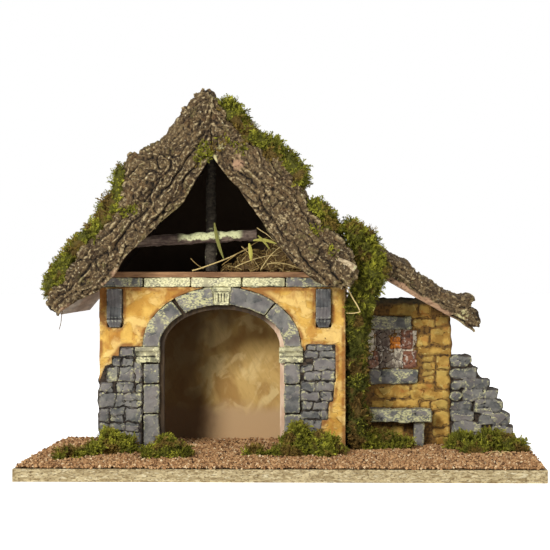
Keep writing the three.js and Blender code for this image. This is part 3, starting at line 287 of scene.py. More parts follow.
def turns_towards(rng, directions):
    """Rotations that take +Z to each direction, with a random turn about it."""
    up = unit(directions)
    side = unit(np.cross(up, rng.normal(size=up.shape)))
    return np.stack([side, np.cross(up, side), up], axis=2)


# Materials

def linear(colour):
    """Screen values of 0 to 255 as the renderer wants them. A node's output stays as it is."""
    if isinstance(colour, bpy.types.NodeSocket):
        return colour
    values = [c / 255 for c in colour]
    return [c / 12.92 if c <= 0.04045 else ((c + 0.055) / 1.055) ** 2.4 for c in values] + [1]


class Paint:
    """One procedural material, put together node by node, in the model's own metres.

    Its colour is laid on in coats, each over the ones before it as far as its shares, multiplied, reach.
    A share is a number, a node's output, the name of a mesh attribute, (name, low, high) for one that goes
    from 0 at low to 1 at high, or (low, high, size in mm, detail, stretch, twist, turn) for such noise.
    """

    def __init__(self, name, roughness=0.85):
        self.material = bpy.data.materials.new(name)
        self.material.use_nodes = True
        self.tree = self.material.node_tree
        self.shader = self.tree.nodes["Principled BSDF"]
        self.shader.inputs["Roughness"].default_value = roughness
        self.shader.inputs["Specular IOR Level"].default_value = 0.3
        self.place = self.node("ShaderNodeTexCoord").outputs["Object"]
        self.colour = None
        self.relief = None

    def node(self, kind, settings=None, inputs=None):
        made = self.tree.nodes.new(kind)
        for name, value in (settings or {}).items():
            setattr(made, name, value)
        for name, value in (inputs or {}).items():
            self.feed(made.inputs[name], value)
        return made

    def feed(self, socket, value):
        if isinstance(value, bpy.types.NodeSocket):
            self.tree.links.new(value, socket)
        else:
            socket.default_value = value

    def scaled(self, size, stretch, turn=0):
        """The place turned about Y and stretched along the axes, in units of a feature size in mm."""
        scale = [1 / (size * MM * k) for k in stretch]
        place = self.place
        if turn:
            turned = self.node("ShaderNodeMapping", None, {"Vector": place, "Rotation": (0, turn, 0)})
            place = turned.outputs[0]
        return self.node("ShaderNodeMapping", None, {"Vector": place, "Scale": scale}).outputs[0]

    def noise(self, size, detail, stretch=(1, 1, 1), twist=0, turn=0):
        place = self.scaled(size, stretch, turn)
        inputs = {"Vector": place, "Scale": 1, "Detail": detail, "Distortion": twist}
        return self.node("ShaderNodeTexNoise", None, inputs).outputs["Fac"]

    def cell_tone(self, size, stretch):
        """A random number for each cell of that size."""
        inputs = {"Vector": self.scaled(size, stretch), "Scale": 1}
        colour = self.node("ShaderNodeTexVoronoi", None, inputs).outputs["Color"]
        return self.node("ShaderNodeSeparateColor", None, {0: colour}).outputs[0]

    def axis(self, index):
        return self.node("ShaderNodeSeparateXYZ", None, {0: self.place}).outputs[index]

    def step(self, value, low, high):
        """0 below low and 1 above high, or the other way round."""
        inputs = {"Value": value, "From Min": low, "From Max": high}
        return self.node("ShaderNodeMapRange", {"interpolation_type": "SMOOTHSTEP"}, inputs).outputs[0]

    def share(self, given):
        """The number or node output that a share stands for."""
        if isinstance(given, str):
            return self.node("ShaderNodeAttribute", {"attribute_name": given}).outputs["Fac"]
        if not isinstance(given, tuple):
            return given
        if isinstance(given[0], str):
            return self.step(self.share(given[0]), *given[1:])
        return self.step(self.noise(*given[2:]), *given[:2])

    def math(self, operation, a, b):
        inputs = {0: self.share(a), 1: self.share(b)}
        return self.node("ShaderNodeMath", {"operation": operation}, inputs).outputs[0]

    def times(self, first, *others):
        total = self.share(first)
        for other in others:
            total = self.math("MULTIPLY", total, other)
        return total

    def between(self, place, start, full, full_to, end):
        """1 from full to full_to, and 0 before start and after end."""
        return self.times(self.step(place, start, full), self.step(place, end, full_to))

    def frayed(self, value, depth, *size):
        """A place or height with noise added to it, up to that depth in metres."""
        return self.math("ADD", value, self.times(self.noise(*size), depth))

    def mix(self, first, second, share):
        inputs = {0: self.share(share), 6: linear(first), 7: linear(second)}
        return self.node("ShaderNodeMix", {"data_type": "RGBA"}, inputs).outputs[2]

    def base(self, first, second, share):
        """The lowest coat, which goes from one colour to another."""
        self.colour = self.mix(first, second, share)

    def coat(self, colour, *shares):
        self.colour = self.mix(self.colour, colour, self.times(*shares))

    def emboss(self, depth, height):
        """Adds relief of that depth, in millimetres."""
        inputs = {"Height": height, "Distance": depth * MM, "Strength": 1}
        if self.relief is not None:
            inputs["Normal"] = self.relief
        self.relief = self.node("ShaderNodeBump", None, inputs).outputs[0]

    def bump(self, depth, *size):
        self.emboss(depth, self.noise(*size))

    def done(self):
        self.feed(self.shader.inputs["Base Color"], self.colour)
        self.feed(self.shader.inputs["Normal"], self.relief)
        return self.material


EVEN = (1, 1, 1)   # a noise that isn't stretched

# Where colours of the building begin and are full, in metres, then where they are still full and end
EAVES_SHADE = (0.18, 0.208)
GREY_TOP = (0.158, 0.166)
BARE_FOOT = (0.068, 0.05)
ROOM_SHADE_LEFT = (-0.05, -0.085)
ROOM_SHADE_TOP = (0.172, 0.21)
LOFT_BLACK = (0.190, 0.1905)
OUTER_LEFT = (-0.1907, -0.1909)
OUTER_RIGHT = (0.0597, 0.0599)
OUTER_BACK = (0.1197, 0.1199)
ROOF_INSIDE = (-0.1965, -0.1935, 0.059, 0.061)
REVEAL_ACROSS = (-0.03, -0.012, -0.0021, -0.0015)
REVEAL_TOP = (0.152, 0.13)
RAIL_TOP = (0.2395, 0.2415)
RAIL_CRUST = (-0.112, -0.104, -0.05, -0.043)


def painted_stone(name, dark, mid, brush, brushing):
    """Cast plaster: blotched paint, blackened joints and a pale dry brush over edges and rough spots.

    The attribute brushed adds to the dry brush, joint blackens, tone varies from stone to stone.
    """
    black, grit = (27, 22, 17), (70.2, 57.2, 44.2)
    paint = Paint(name)
    paint.base(dark, mid, (0.36, 0.64, 11, 6))
    paint.coat((136, 126, 122), ("tone", -0.6, 0.9), 0.4)
    paint.coat((118, 98, 90), (0.57, 0.7, 21, 3, (1, 1, 0.7)), 0.25)
    rough = paint.math("ADD", paint.noise(12, 6, (1, 1, 1.3), 0.5), paint.times("brushed", 0.3))
    rough = paint.step(rough, 0.64 - brushing, 0.74 - brushing)
    touched = paint.math("MAXIMUM", rough, ("wear_and_light", 0.54, 0.76))
    paint.coat(brush, touched, (0.38, 0.62, 2.2, 5, (1, 1, 0.6)), 0.85)
    paint.coat(paint.mix(black, grit, (0.35, 0.65, 3, 4)), "joint")
    paint.coat(black, ("wear_and_light", 0.45, 0.25))
    paint.bump(0.4, 1.6, 5)
    paint.bump(0.6, 6, 4)
    return paint.done()


def stucco_paint():
    """Knife-laid plaster: golden, with hard-edged pale patches, a rim of rust and painted shade round its
    edges, and painted shade under the eaves.
    """
    paint = Paint("stucco_paint", 0.8)
    paint.base((190, 140, 56), (224, 180, 88), (0.36, 0.6, 20, 4, EVEN, 0.3))
    paint.coat((240, 206, 128), (0.47, 0.58, 17, 7, (1, 1, 0.9), 0.4), 0.6)
    paint.coat((166, 102, 36), (0.55, 0.68, 12, 7, (0.8, 1, 1.3), 0.4), 0.5)
    paint.coat((246, 220, 150), ("wear_and_light", 0.54, 0.7), 0.5)
    # The rim round the stucco's edges: partly rust stain, partly painted shade beside the raised stones
    paint.coat((136, 82, 34), "rim", (0.3, 0.55, 9, 5), 0.85)
    # Painted shade under the eaves and lintels, across the top of the wall
    paint.coat((142, 88, 36), paint.step(paint.frayed(paint.axis(2), 0.03, 14, 5), *EAVES_SHADE), 0.6)
    paint.coat((104, 72, 38), (0.68, 0.74, 2.2, 3))
    paint.coat((110, 70, 30), ("wear_and_light", 0.44, 0.25))
    paint.bump(0.6, 2.2, 5)
    paint.bump(1.6, 8, 5, EVEN, 0.6)
    paint.emboss(0.6, paint.share((0.49, 0.55, 17, 6, (1, 1, 0.9), 0.4)))
    return paint.done()


def ochre_paint():
    """The annex wall: ochre stones and mortar, grey above the niche."""
    paint = Paint("ochre_stone_paint", 0.8)
    paint.base((150, 110, 44), (198, 158, 76), (0.38, 0.62, 12, 5))
    paint.coat((168, 146, 76), ("tone", -0.5, 0.9), 0.5)
    paint.coat((164, 98, 40), (0.56, 0.68, 15, 4, (1, 1, 0.6)), 0.5)
    paint.coat((214, 192, 120), ("wear_and_light", 0.54, 0.74), (0.45, 0.6, 2.5, 4), 0.7)
    paint.coat(paint.mix((70, 48, 20), (122, 88, 38), (0.35, 0.6, 3, 4)), "joint")
    paint.coat((44, 28, 12), ("wear_and_light", 0.44, 0.22))
    paint.coat((74, 76, 62), paint.step(paint.axis(2), *GREY_TOP), 0.7)
    paint.bump(0.4, 2, 5)
    paint.bump(0.6, 7, 4)
    return paint.done()


def brick_paint():
    """Small bricks: each brick's own colour comes from the attribute tone."""
    paint = Paint("brick_paint")
    paint.base((114, 100, 86), (202, 190, 166), ("tone", 0.1, 0.3))
    paint.coat((128, 84, 62), ("tone", 0.4, 0.6))
    paint.coat((206, 124, 44), ("tone", 0.75, 0.9))
    paint.coat((78, 60, 52), (0.48, 0.62, 4, 5, (1, 1, 1.6)), 0.75)
    paint.coat((214, 204, 186), (0.56, 0.66, 3.4, 6), 0.6)
    paint.coat((34, 22, 22), ("wear_and_light", 0.46, 0.28))
    paint.bump(0.5, 1.8, 5)
    return paint.done()


def bark_paint():
    """Cork bark: pale where it sticks out, partly weathered cork and partly painted highlight; near black in
    its furrows, partly their own colour and partly painted shade; raw where it is cut.
    """
    paint = Paint("cork_bark", 0.9)
    paint.base((66, 51, 33), (94, 76, 52), (0.35, 0.65, 30, 4, EVEN, 0.5))
    paint.coat((134, 112, 76), (0.45, 0.6, 4.5, 6, EVEN, 0.8), 0.55)
    paint.coat((96, 66, 36), (0.54, 0.66, 9, 4, EVEN, 0.5), 0.4)
    paint.coat((36, 27, 17), (0.5, 0.38, 1.9, 4), 0.65)
    # Pale ridges and flecks: partly weathered cork, partly painted highlight
    paint.coat((186, 166, 124), ("wear_and_light", 0.54, 0.78), (0.36, 0.54, 2.6, 4), 0.85)
    paint.coat((214, 204, 172), (0.66, 0.7, 2.1, 4), ("wear_and_light", 0.48, 0.62))
    paint.coat((94, 92, 42), (0.56, 0.68, 15, 4), ("wear_and_light", 0.4, 0.6), 0.4)
    paint.coat((186, 148, 116), "cut", 0.75)
    paint.coat((206, 196, 142), "lichen", (0.4, 0.55, 3, 4))
    # Near black in the furrows and hollows: partly the cork's own colour, partly painted shade
    paint.coat((34, 26, 17), ("deep", 0.49, 0.26))
    paint.coat((22, 17, 11), ("wear_and_light", 0.47, 0.22))
    paint.bump(1.2, 2.4, 6, EVEN, 0.6)
    paint.bump(0.35, 0.9, 3)
    return paint.done()


def moss_paint():
    """Moss: brown and dark at its root, green to yellow-green at its tips."""
    paint = Paint("moss_leaf")
    paint.base((66, 68, 15), (150, 148, 42), "tint")
    paint.coat((206, 202, 68), (0.48, 0.66, 12, 3), ("tip", 0.4, 1), 0.8)
    paint.coat((124, 94, 44), (0.52, 0.6, 20, 6), 0.8)
    paint.coat((34, 30, 12), ("tip", 0.55, 0.05))
    paint.bump(0.1, 1.2, 2)
    return paint.done()


def gravel_paint():
    """Grains from dark brown over tan to cream, each by its own tint."""
    paint = Paint("gravel_grains", 0.9)
    paint.base((62, 40, 24), (158, 116, 76), ("tint", 0, 0.3))
    paint.coat((198, 156, 108), ("tint", 0.3, 0.65))
    paint.coat((238, 214, 172), ("tint", 0.7, 1))
    paint.coat((168, 126, 84), (0.4, 0.65, 45, 3), 0.25)
    paint.bump(0.2, 0.8, 3)
    return paint.done()


def chipboard_paint():
    paint = Paint("pressed_chips", 0.8)
    paint.base((138, 118, 80), (196, 178, 136), paint.cell_tone(2.8, (1.6, 1.6, 0.6)))
    paint.coat((86, 66, 40), (0.52, 0.62, 1.7, 5, (1.6, 1.6, 0.7)), 0.7)
    paint.coat((224, 212, 176), (0.56, 0.68, 3.2, 4, (1.6, 1.6, 0.5), 0.5), 0.6)
    paint.bump(0.5, 2.4, 4, (2.2, 2.2, 0.3))
    return paint.done()


def inner_paint():
    """The house's walls: brushed cream and ochre in the room with a painted shadow at its left and top, near
    black in the loft, raw board outside.
    """
    paint = Paint("brushed_inside", 0.8)
    x, y, z = (paint.axis(i) for i in range(3))
    paint.base((186, 144, 80), (218, 180, 108), (0.36, 0.6, 34, 4, (1, 1, 1.2), 0.8))
    paint.coat((240, 212, 146), (0.49, 0.6, 24, 6, (0.8, 1, 1.3), 0.6, -0.6), 0.7)
    paint.coat((150, 106, 52), (0.5, 0.64, 6, 5, (0.6, 1, 2.4), 0.8, 0.5), 0.15)
    paint.coat((204, 168, 122), paint.step(paint.frayed(z, 0.02, 16, 3), *BARE_FOOT))
    # Painted shadow of the doorway's left side and top, on the room's left and upper walls
    wander = (0.05, 24, 4, (1, 1, 2))
    leftward = paint.step(paint.frayed(x, *wander), *ROOM_SHADE_LEFT)
    tilted = paint.math("SUBTRACT", z, paint.times(x, 0.35))
    upward = paint.step(paint.frayed(tilted, *wander), *ROOM_SHADE_TOP)
    paint.coat((80, 50, 22), paint.math("MAXIMUM", leftward, upward), 0.85)
    paint.coat((56, 42, 26), paint.step(z, *LOFT_BLACK))
    outside = paint.math("MAXIMUM", paint.step(y, *OUTER_BACK), paint.step(x, *OUTER_LEFT))
    outside = paint.math("MAXIMUM", outside, paint.step(x, *OUTER_RIGHT))
    paint.coat(paint.mix((170, 128, 84), (196, 156, 110), (0.35, 0.65, 7, 5, (1, 1, 4))), outside)
    paint.bump(0.3, 3, 5, (0.6, 1, 1.8), 1, 0.5)
    return paint.done()


def board_paint(name, low, high, stretch, dark_loft=False):
    """Thin board with a fine grain along its length, and dark over the loft if so asked."""
    paint = Paint(name, 0.75)
    paint.base(low, high, (0.36, 0.64, 5, 6, stretch))
    paint.coat([c * 0.62 for c in low], (0.56, 0.7, 1.4, 4, stretch), 0.4)
    if dark_loft:
        paint.coat((58, 44, 28), paint.between(paint.axis(0), *ROOF_INSIDE))
    paint.bump(0.25, 1.6, 5, stretch)
    return paint.done()


def panel_paint():
    """The thin panel round the doorway: a painted shadow of the stones over most of it, its own pale board
    only on the lit right-hand reveal.
    """
    paint = Paint("fibreboard_edge", 0.8)
    grain = paint.share((0.36, 0.64, 5, 6, (1, 1, 5)))
    # Painted shadow: the dark base stands for the stones' shadow on the panel
    paint.base((48, 36, 24), (74, 58, 38), grain)
    # The board's own colour, only where light falls on the right-hand reveal
    lit_board = paint.mix((206, 170, 140), (232, 204, 174), grain)
    paint.coat(lit_board, paint.between(paint.axis(0), *REVEAL_ACROSS), paint.step(paint.axis(2), *REVEAL_TOP))
    paint.bump(0.2, 2, 4)
    return paint.done()


def rail_paint():
    """The loft's rail: pale lichen on top of its middle, bare brown wood below and at its right end."""
    paint = Paint("rail_lichen", 0.9)
    x, z = paint.axis(0), paint.axis(2)
    paint.base((70, 54, 48), (122, 104, 90), (0.35, 0.65, 3, 5, (4, 1, 1)))
    height = paint.frayed(paint.math("SUBTRACT", z, paint.times(x, 0.06)), 0.012, 7, 5)
    paint.coat((206, 206, 156), paint.step(height, *RAIL_TOP), paint.between(x, *RAIL_CRUST))
    paint.coat((88, 82, 62), (0.56, 0.66, 1.8, 4), 0.6)
    paint.bump(0.5, 1.8, 5, (2.5, 1, 1))
    return paint.done()


def stick_paint(name, dark, pale, lichen):
    paint = Paint(name, 0.9)
    paint.base(dark, pale, (0.35, 0.65, 3, 5, (3, 1, 1)))
    paint.coat((190, 190, 142), (0.62 - lichen, 0.72 - lichen, 7, 5))
    paint.coat([c * 0.6 for c in dark], (0.56, 0.66, 1.8, 4), 0.7)
    paint.bump(0.5, 1.8, 5, (2.5, 1, 1))
    return paint.done()


def straw_paint():
    paint = Paint("straw", 0.7)
    paint.base((84, 62, 32), (150, 122, 68), ("tint", 0, 0.5))
    paint.coat((214, 190, 128), ("tint", 0.5, 0.9))
    paint.coat((92, 68, 36), (0.55, 0.7, 3, 4), 0.5)
    paint.bump(0.1, 0.8, 3)
    return paint.done()


def leaf_paint():
    paint = Paint("grass_leaf", 0.6)
    paint.base((98, 98, 46), (190, 180, 84), "tint")
    paint.coat((86, 90, 30), (0.5, 0.7, 1.2, 3), 0.35)
    paint.bump(0.1, 1, 2)
    return paint.done()


# Stones of the facade

GREY = painted_stone("grey_stone_paint", (84, 84, 82), (124, 121, 114), (208, 203, 148), 0.04)
DARK = painted_stone("dark_stone_paint", (58, 58, 58), (92, 92, 90), (170, 170, 150), 0.0)
PALE = painted_stone("pale_stone_paint", (118, 116, 92), (190, 184, 140), (240, 234, 184), 0.2)


def worn_stone(node, material, slot, voxel, rounds, dents, warp, seed, shape=None, **extra):
    """A CAD stone with its edges worn off, its faces dented and its outline bent.

    voxel is the step of its mesh, rounds how often its edges are rounded, dents and warp how far its faces
    and its outline move, and shape a function that carves it first. extra may hold: floor, the two depths
    between which a joint turns dark; fill, how far joints are filled up; and brushed, its pale dry brush.
    """
    stone = Sculpt(node, voxel)
    if shape:
        shape(stone)
    joint = np.zeros(stone.count)
    if "floor" in extra:
        joint = np.clip(1.4 * stone.relaxed(ramp(*extra["floor"], stone.points[:, 1]), 1), 0, 1)
        joint = joint * (stone.normals()[:, 1] < 0.4)
    if warp:
        stone.warp(8, warp, seed)
    stone.round_off(rounds)
    chipped, level = cells(stone.points, 7, seed)
    heights = dents * 0.6 * layered(stone.points, 6, seed)
    heights = heights + dents * 0.35 * level * ramp(0, 0.3, chipped)
    _, tone = cells(stone.points * [1, 0.2, 1.4], 13, seed + 1)
    stone.push((heights + 0.5 * dents * tone) * (1 - joint) + extra.get("fill", 0) * joint)
    brushed = np.full(stone.count, extra.get("brushed", 0.0))
    stone.piece(material, slot, wear_and_light=stone.curvature(8, 1.5), tone=tone, joint=joint, brushed=brushed)


def notch(stone, distance, width, depth):
    """Pushes the front face back where the distance is small."""
    stone.points[:, 1] += depth * np.exp(-(distance / width) ** 2) * stone.facing_front()


def carve_corbel(stone):
    """A beam's end: three wavering upright grooves, and a cross line above its narrowing foot."""
    foot, cross_line = 7, 8.2
    low = stone.points.min(axis=0)
    high = stone.points.max(axis=0)
    up = stone.points[:, 2] - low[2]
    across = stone.points[:, 0] - low[0]
    middle = (low[0] + high[0]) / 2
    notch(stone, up - cross_line, 0.8, 1.6)
    for groove in (4.2, 7.6, 11.2):
        notch(stone, across - groove + 0.4 * np.sin(up / 5), 0.5, 0.7)
    taper = ramp(foot, 0, up)
    stone.points[:, 0] += (middle - stone.points[:, 0]) * 0.28 * taper
    stone.points[:, 1] += 2.2 * taper * ramp(high[1], low[1], stone.points[:, 1])


def carve_impost(stone):
    """Three mouldings, the lower ones set back."""
    low = stone.points.min(axis=0)
    share = (stone.points[:, 2] - low[2]) / (stone.points[:, 2].max() - low[2])
    set_back = 1.1 * ramp(0.42, 0.36, share) + 0.8 * ramp(0.74, 0.68, share)
    stone.points[:, 1] += set_back * stone.facing_front()
    for groove in (0.4, 0.72):
        notch(stone, share - groove, 0.05, 1.0)


def carve_keystone(stone):
    """A field of upright flutes with a line above it."""
    low = stone.points.min(axis=0)
    up = stone.points[:, 2] - low[2]
    across = stone.points[:, 0] - (low[0] + stone.points[:, 0].max()) / 2
    field = ramp(2.4, 3.2, up) * ramp(12.4, 11.6, up) * ramp(6.4, 5.6, np.abs(across))
    flutes = np.cos(across * 2 * math.pi / 3.1) * field
    line = np.exp(-((up - 13.4) / 0.6) ** 2)
    stone.points[:, 1] += (0.7 * flutes + 0.9 * line) * stone.facing_front()


def facade():
    brushing = {"left_lower": 0.2, "left_upper": 0.75, "right_upper": -0.3, "right_lower": 0.3}
    for i, (node, brushed) in enumerate(brushing.items()):
        worn_stone("voussoir_" + node, GREY, "grey_stone", 0.7, 3, 0.6, 0.4, 10 + i, brushed=brushed)
    for side, number in itertools.product(("left", "right"), (1, 2, 3)):
        worn_stone(f"pier_{side}_{number}", GREY, "grey_stone", 0.7, 3, 0.7, 0.4, 20 + number, brushed=-0.1)
    worn_stone("keystone", PALE, "pale_stone", 0.5, 1, 0.25, 0, 30, carve_keystone)
    joints = {"floor": (5.2, 5.9), "fill": 1.3}
    for side in ("left", "right"):
        worn_stone("impost_" + side, PALE, "pale_stone", 0.5, 1, 0.5, 0.2, 33, carve_impost)
        worn_stone("corbel_" + side, DARK, "grey_stone", 0.6, 2, 0.3, 0, 35, carve_corbel, brushed=-0.6)
        worn_stone("rubble_" + side, GREY, "grey_stone", 0.55, 2, 0.9, 1.7, 38, brushed=0.05, **joints)
    for number in range(1, 6):
        paint, brushed = (GREY, 0.4) if number in (1, 5) else (PALE, 0.2)
        worn_stone(f"lintel_{number}", paint, "pale_stone", 0.6, 3, 0.6, 0.4, 40 + number, brushed=brushed)


def stucco():
    material = stucco_paint()
    for side in ("left", "right"):
        wall = Sculpt("stucco_" + side, 0.9)
        # The rim round the wall's edges, where the material lays rust and painted shade
        pulled = np.abs(wall.points - wall.relaxed(wall.points, 12))
        rim = ramp(0.04, 0.4, pulled[:, [0, 2]].max(axis=1))
        rim = ramp(0.1, 0.9, wall.relaxed(rim, 30) * 2.6)
        wall.round_off(1)
        ledges = ramp(-0.05, 0.12, layered(wall.points * [0.8, 1, 1.2], 16, 56))
        strokes = 0.5 * layered(wall.points * [1, 1, 0.7], 13, 51, 4) + 0.5 * ledges
        wall.push(np.where(wall.normals()[:, 1] < -0.4, strokes, 0.1 * strokes))
        wall.piece(material, "stucco", wear_and_light=wall.curvature(6, 1.6), rim=rim)


# Annex and boulders

# The niche's bricks as left, right, low, high and their tone
BRICK_TONES = [
    (92, 104.6, 113.5, 133.1, 0.0), (107.2, 117, 115.5, 126.5, 1.0), (118.2, 129.4, 115.5, 133.3, 0.65),
    (83, 93.6, 94.5, 111.5, 0.5), (95, 108.8, 94.5, 111.5, 0.1), (110, 119.8, 94.5, 111.5, 0.3),
    (121, 133.6, 94.5, 111.5, 0.65),
]
MORTAR_TONE = 0.2
# The centre and half the size, in X and Z, of one more stone in the gap of the boulder wall
GAP_STONE = (176, 66)
GAP_STONE_HALF = (6.4, 4.8)


def small_boulder(stone):
    """Raises the stone in the gap, next to the annex wall."""
    reach = np.linalg.norm((stone.points[:, [0, 2]] - GAP_STONE) / GAP_STONE_HALF, axis=1)
    stone.points[:, 1] -= 3.2 * ramp(1.25, 0.85, reach) * stone.facing_front()


def annex():
    joints = {"floor": (65.8, 66.6), "fill": 1.5}
    worn_stone("annex_wall", ochre_paint(), "ochre_stone", 0.7, 2, 0.8, 1.7, 61, **joints)
    # The cap's and sill's stronger dry brush is partly painted light, against the lean-to's shade over them
    for node, brushed, *wear in (
        ("niche_cap", 0.5, 0.8, 9, 0.7, 0.8, 62), ("niche_sill", 0.3, 0.8, 9, 0.7, 0.8, 63),
        ("bench_slab", 0.6, 0.9, 7, 0.9, 0.9, 64), ("bench_leg", -0.3, 0.8, 5, 0.9, 0.5, 65),
    ):
        worn_stone(node, GREY, "grey_stone", *wear, brushed=brushed)
    boulders = {"brushed": 0.1, "floor": (63.0, 64.2)}
    worn_stone("boulder_wall", GREY, "grey_stone", 0.7, 3, 1.0, 1.7, 66, small_boulder, **boulders)
    bricks = Sculpt("niche_bricks", 0.6)
    tone = np.full(bricks.count, MORTAR_TONE)
    x, z = bricks.points[:, 0], bricks.points[:, 2]
    for left, right, low, high, value in BRICK_TONES:
        tone[(x > left - 1) & (x < right + 1) & (z > low - 1) & (z < high + 1)] = value
    border, value = cells(bricks.points * [1.1, 0.1, 1.2], 11, 69)
    crack = ramp(0.1, 0.03, border)
    bricks.warp(6, 0.7, 67)
    bricks.round_off(2)
    bricks.push(0.6 * layered(bricks.points, 3.5, 68) - 0.7 * crack + 0.5 * value)
    bricks.piece(brick_paint(), "niche_brick", wear_and_light=bricks.curvature(7, 1.6), tone=tone + 0.12 * value)


# Bark

LEFT_SLOPE = math.radians(50.23)
RIGHT_SLOPE = math.radians(47.29)
LEAN_SLOPE = math.radians(29.55)
LEAN_EDGE = np.array([169.0, 0.0, 149.5])   # a point of the lean-to board's upper face
# Spots of the bark as [x, y, z, radius]: raw cork where it is cut or broken, crusts of lichen, and knobs
CUTS = [[-166, -44, 192, 9], [-172, -44, 182, 7], [-47, -44, 303, 8], [-215, -42, 158, 8]]
LICHEN = [[-70, -44, 306, 7], [-64, -44, 318, 5], [178, 8, 150, 8]]
KNOBS = [[-143, -43, 306, 10], [-131, -44, 290, 7], [-60, -44, 270, 7], [28, -44, 212, 9]]


def bark_relief(points, along):
    """The bark's own relief on top of the slab's main ridges: long cracked plates and sharp furrows."""
    across = np.cross(along, (0, 1, 0))
    local = np.stack([points @ along * 0.2, points[:, 1], points @ across], axis=1)
    bend = np.stack([layered(points, 30, seed) for seed in (71, 72, 73)], axis=1)
    local = local + 6 * bend
    plates = np.minimum(np.abs(noise(local, 11, 75)), 0.4)
    small = np.minimum(np.abs(noise(local * [1.6, 1, 1], 5.2, 76)), 0.45)
    border, level = cells(local * [2.6, 1, 1], 7, 78)
    flakes = 1.2 * level - 1.1 * ramp(0.2, 0.02, border)
    grain = layered(points * [1.2, 0.7, 1.2], 3.2, 79)
    relief = 9.5 * plates + 3.6 * small + flakes + 1.3 * grain
    return relief - relief.mean() + 0.2


def patches(points, places, seed):
    """How much each point is in one of the ragged round patches [x, y, z, radius], 0 to 1."""
    share = np.zeros(len(points))
    for x, y, z, radius in places:
        distance = np.linalg.norm(points - [x, y, z], axis=1) + 4 * noise(points, 4, seed)
        share = np.maximum(share, ramp(radius, radius * 0.4, distance))
    return share


def bark():
    """Displaces all the slabs and gives the points and normals of their fronts, where moss can cling."""
    material = bark_paint()
    slopes = {"bark_left": -LEFT_SLOPE, "bark_right": RIGHT_SLOPE, "lean_to_bark": LEAN_SLOPE}
    points = []
    directions = []
    for (group, slope), part in itertools.product(slopes.items(), ("upper", "lower")):
        node = f"{group}_{part}"
        side = math.copysign(1, slope)
        along = np.array([side * math.cos(slope), 0, -abs(math.sin(slope))])
        out = np.array([side * abs(math.sin(slope)), 0, math.cos(slope)])
        slab = Sculpt(node, 0.9)
        slab.round_off(2)
        normals = slab.normals()
        # What lies on the board or faces the back keeps nearly to the CAD shape
        held = ramp(-0.3, -0.75, normals @ out) + ramp(0.4, 0.8, normals[:, 1])
        free = 1 - np.clip(held, 0, 1)
        gain = (0.8 if "lean" in node else 1.0) * (0.08 + 0.92 * free)
        ends = ramp(0.45, 0.8, np.abs(normals @ along)) * free
        knobs = patches(slab.points, KNOBS, 81)
        rings = knobs * (1 - knobs) * 4
        relief = bark_relief(slab.points, along) * gain * (1 - 0.7 * knobs)
        slab.push(relief + 2.4 * ends + 3 * knobs - 1.5 * rings)
        cut = patches(slab.points, CUTS, 79)
        if "lean" in node:
            # Its lower edge is a strip of raw cork along the board
            edge = (slab.points - LEAN_EDGE) @ out
            strip = ramp(4.5, 2.5, edge + 2.6 * noise(slab.points, 8, 80))
            across = slab.points[:, 0] + 8 * noise(slab.points, 10, 83)
            cut = np.maximum(cut, strip * ramp(98, 110, across) * ramp(168, 156, across))
        cut = cut * (normals[:, 1] < 0.3)
        seams = slab.relaxed(ramp(0.4, 0.8, np.abs(normals @ along)), 8)
        # Curvature for pale ridges (wear and painted highlight) and black hollows (painted shade), weaker
        # along seams
        wear_and_light = slab.curvature(9, 4.2) - 0.2 * seams
        deep = slab.curvature(40, 9)
        slab.piece(material, "bark", wear_and_light=wear_and_light, deep=deep, cut=cut, lichen=patches(slab.points, LICHEN, 82))
        facing = normals[:, 1] < -0.35
        points.append(slab.points[facing])
        directions.append(normals[facing])
    return np.concatenate(points), np.concatenate(directions)


# Moss

def frond(seed):
    """A feathery moss branch one unit long, as (points, faces, tips): small leaves along a bent stem."""
    pairs = 5
    rng = np.random.default_rng(seed)
    points = []
    faces = []
    tips = []
    for pair, side in itertools.product(range(pairs), (-1, 1)):
        t = (pair + 0.5 + 0.25 * side) / pairs
        root = np.array([0.35 * t * t, 0, t * (1 - 0.2 * t)])
        turn = side * 1.3 + rng.uniform(-0.7, 0.7)
        out = np.array([math.cos(turn), math.sin(turn), 0.9])
        length = 0.42 * (1 - 0.5 * t)
        across = np.array([-math.sin(turn), math.cos(turn), 0]) * 0.1
        middle = root + out * length * 0.5
        end = root + out * length + [0, 0, -0.05]
        start = len(points)
        points += [root, middle + across, end, middle - across + [0, 0, 0.03]]
        faces.append([start, start + 1, start + 2, start + 3])
        tips += [0.2 + 0.4 * t, 0.45 + 0.4 * t, 0.6 + 0.4 * t, 0.45 + 0.4 * t]
    return np.array(points), np.array(faces), np.array(tips)


def surface_points(sculpt, count, rng):
    """Points spread evenly over a sculpt's surface, with their normals."""
    normals = sculpt.normals()
    quads = sculpt.faces
    a, b, c, d = (sculpt.points[quads[:, i]] for i in range(4))
    areas = np.linalg.norm(np.cross(c - a, d - b), axis=1)
    picks = rng.choice(len(quads), count, p=areas / areas.sum())
    u, v = rng.random((2, count, 1))
    points = (a[picks] * (1 - u) + b[picks] * u) * (1 - v) + (d[picks] * (1 - u) + c[picks] * u) * v
    return points, normals[quads[picks, 0]]


